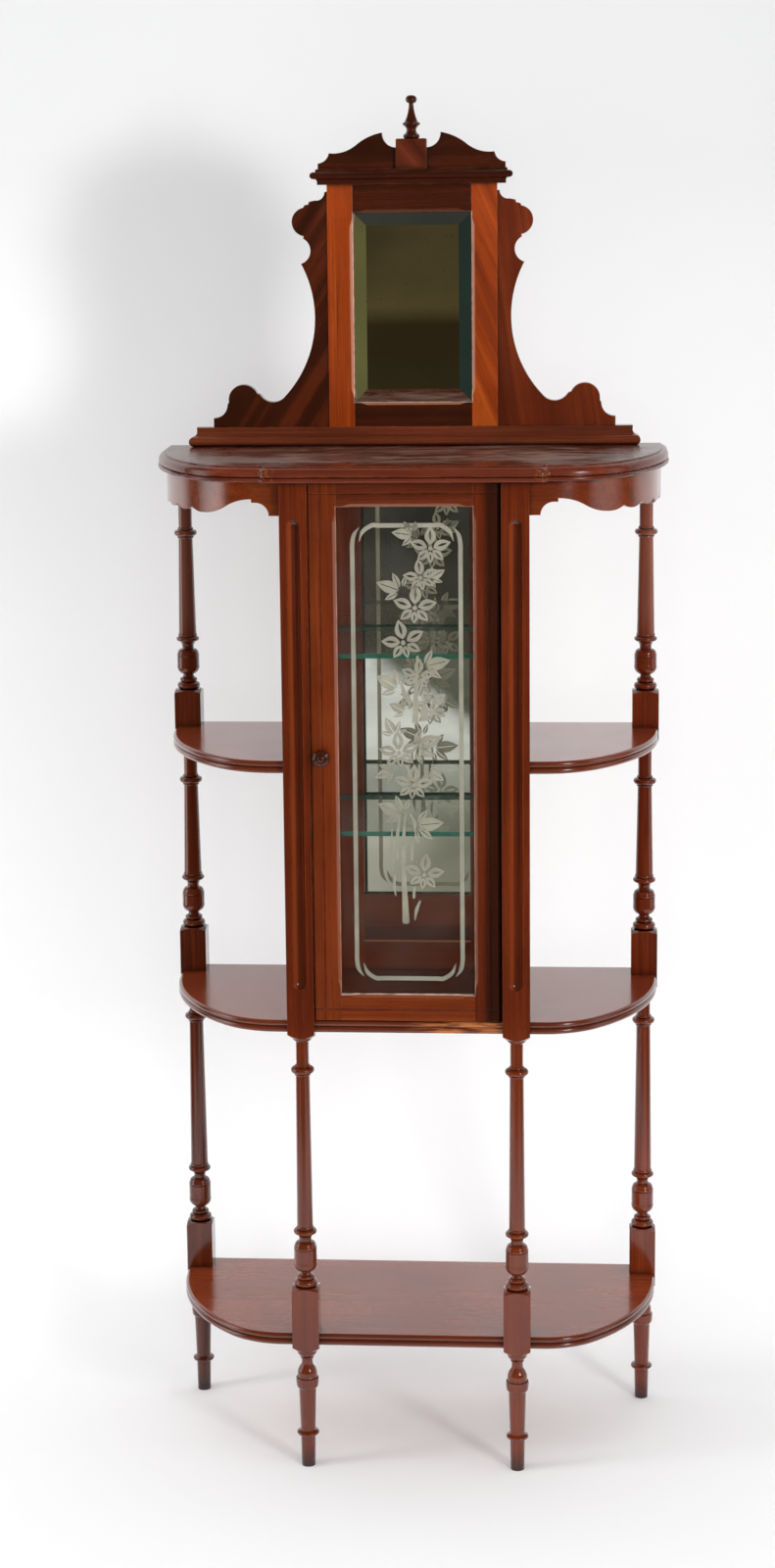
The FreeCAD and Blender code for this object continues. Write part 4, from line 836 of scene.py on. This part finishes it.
# Room that the mirrors, glass and polish show: a wall behind the camera, with its tones by height as
# shares of a height, a lighter stretch on the left and a darker one on the right
ROOM = 6.0
ROOM_HEIGHT = 4.0
ROOM_TONES = ((0.0, shade(62, 60, 50)), (0.13, shade(50, 49, 42)), (0.20, shade(58, 52, 34)),
              (0.285, shade(46, 37, 22)), (0.30, shade(80, 70, 44)), (0.45, shade(66, 60, 40)),
              (0.6, shade(60, 60, 56)))
ROOM_LEFT, ROOM_RIGHT = (-4.0, -1.0), (0.7, 4.0)


def room_shade():
    """Dark side of the room, uneven in tone."""
    f = Finish("room_shade")
    x = f.axis(f.coords, 0)
    tone = f.ramp(f.math("DIVIDE", f.axis(f.coords, 2), ROOM_HEIGHT), *ROOM_TONES)
    tone = f.mix(f.window(x, *ROOM_LEFT, 0.15), tone, shade(98, 96, 60))
    tone = f.mix(f.window(x, *ROOM_RIGHT, 0.15), tone, shade(38, 50, 46))
    patches = f.noise(f.scaled(f.coords, (1.1, 1.0, 1.7)), detail=5.0, bend=0.4)
    patches = f.ramp(patches, (0.35, 0.72), (0.65, 1.3))
    return f.show(f.add("Emission", {"Color": f.mix(1.0, tone, patches, "MULTIPLY")}))


# White boards beside the stand: distance, depth, height, the stretch that glows and how strongly, and
# what the left one adds
SIDE_BOARD_X = 2.6
SIDE_BOARD_DEPTH = (-2.8, 0.6)
SIDE_BOARD_TOP = 2.4
SIDE_BOARD_GLOW = (-0.8, 0.4)
SIDE_BOARD_STRENGTH, LEFT_BOARD_MORE = 1.3, 2.0


def side_board():
    """White boards, the left one brighter."""
    f = Finish("side_board")
    white = f.ramp(f.noise(f.coords, scale=1.2, detail=3.0), (0.3, 0.7), (0.7, 0.9))
    left = f.below(f.axis(f.coords, 0), 0.0, 0.1)
    lit = f.window(f.axis(f.coords, 1), *SIDE_BOARD_GLOW, 0.5)
    glow = f.times(f.math("ADD", SIDE_BOARD_STRENGTH, f.times(left, LEFT_BOARD_MORE)), lit)
    return f.show(f.add("Emission", {"Color": white, "Strength": glow}))


def only_in_shine(piece):
    """Hide a studio surface from everything but reflections."""
    piece.visible_camera = False
    piece.visible_diffuse = False
    piece.visible_shadow = False


stage_mesh("studio_sweep", *sweep(half=ROOM, front=-ROOM, bend=0.2, radius=0.4, top=5.0), paper())
wall = [(-ROOM, -ROOM, 0), (ROOM, -ROOM, 0), (ROOM, -ROOM, ROOM), (-ROOM, -ROOM, ROOM)]
only_in_shine(stage_mesh("room_card", wall, [(0, 1, 2, 3)], room_shade()))
front, back = SIDE_BOARD_DEPTH
outline = ((front, 0.0), (back, 0.0), (back, SIDE_BOARD_TOP), (front, SIDE_BOARD_TOP))
boards = [(x, y, z) for x in (-SIDE_BOARD_X, SIDE_BOARD_X) for y, z in outline]
only_in_shine(stage_mesh("side_boards", boards, [(0, 1, 2, 3), (4, 5, 6, 7)], side_board()))


def softbox(name, place, aim, size, power, in_shine=True, spread=180):
    """Rectangular lamp facing a point, with a spread in degrees; reflections may leave it out."""
    data = bpy.data.lights.new(name, "AREA")
    data.shape = "RECTANGLE"
    data.size, data.size_y = size
    data.energy = power
    data.spread = radians(spread)
    light = bpy.data.objects.new(name, data)
    bpy.context.scene.collection.objects.link(light)
    light.visible_glossy = in_shine
    light.location = place
    light.rotation_mode = "QUATERNION"
    light.rotation_quaternion = (Vector(aim) - Vector(place)).to_track_quat("-Z", "Y")


softbox("key_softbox", place=(2.3, -2.9, 1.75), aim=(0.0, 0.0, 1.0), size=(0.6, 1.0), power=42.0)
softbox("fill_softbox", place=(-2.5, -0.9, 1.4), aim=(0.0, 0.0, 1.0), size=(0.7, 2.2), power=22.0,
        in_shine=False)
softbox("front_softbox", place=(0.3, -4.4, 1.6), aim=(0.0, 0.0, 0.9), size=(1.2, 0.9), power=28.0,
        in_shine=False)
softbox("gallery_softbox", place=(1.5, -1.7, 1.75), aim=(-0.1, 0.2, 1.6), size=(0.3, 0.3), power=2.0,
        in_shine=False, spread=50)


def studio_world():
    """Soft light from all round: dark in reflections, and white where the camera looks past the paper."""
    world = bpy.data.worlds.new("studio")
    world.use_nodes = True
    nodes, links = world.node_tree.nodes, world.node_tree.links
    nodes.clear()

    def background(colour, strength=1.0):
        node = nodes.new("ShaderNodeBackground")
        node.inputs["Color"].default_value = colour
        node.inputs["Strength"].default_value = strength
        return node

    def choose(ray, no, yes):
        node = nodes.new("ShaderNodeMixShader")
        links.new(rays.outputs[ray], node.inputs[0])
        links.new(no.outputs[0], node.inputs[1])
        links.new(yes.outputs[0], node.inputs[2])
        return node

    rays = nodes.new("ShaderNodeLightPath")
    soft_room = background((0.98, 0.99, 1.0, 1.0), 0.9)
    dark_room = background(shade(48, 45, 38))
    lit = choose("Is Glossy Ray", soft_room, dark_room)
    seen = choose("Is Camera Ray", lit, background(WHITE))
    links.new(seen.outputs[0], nodes.new("ShaderNodeOutputWorld").inputs["Surface"])
    return world


bpy.context.scene.world = studio_world()


# Camera, as fitted to the lines of the photograph
camera = bpy.data.objects.new("camera", bpy.data.cameras.new("camera"))
bpy.context.scene.collection.objects.link(camera)
camera.data.sensor_fit = "VERTICAL"
camera.data.sensor_height = 36.0
camera.data.lens = 66.897
camera.data.shift_x = 0.0253125
camera.data.shift_y = -0.0625
camera.matrix_world = Matrix(((0.9972037, -0.00106532, 0.07472375, 0.2007985),
                              (0.0737095, 0.17880786, -0.98111909, -3.7086066),
                              (-0.01231599, 0.98388344, 0.17838638, 1.7014555),
                              (0.0, 0.0, 0.0, 1.0)))
bpy.context.scene.camera = camera
bpy.context.scene.view_settings.view_transform = "Standard"

# Size of the solids with the new pieces, leaving out the studio
low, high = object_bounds()
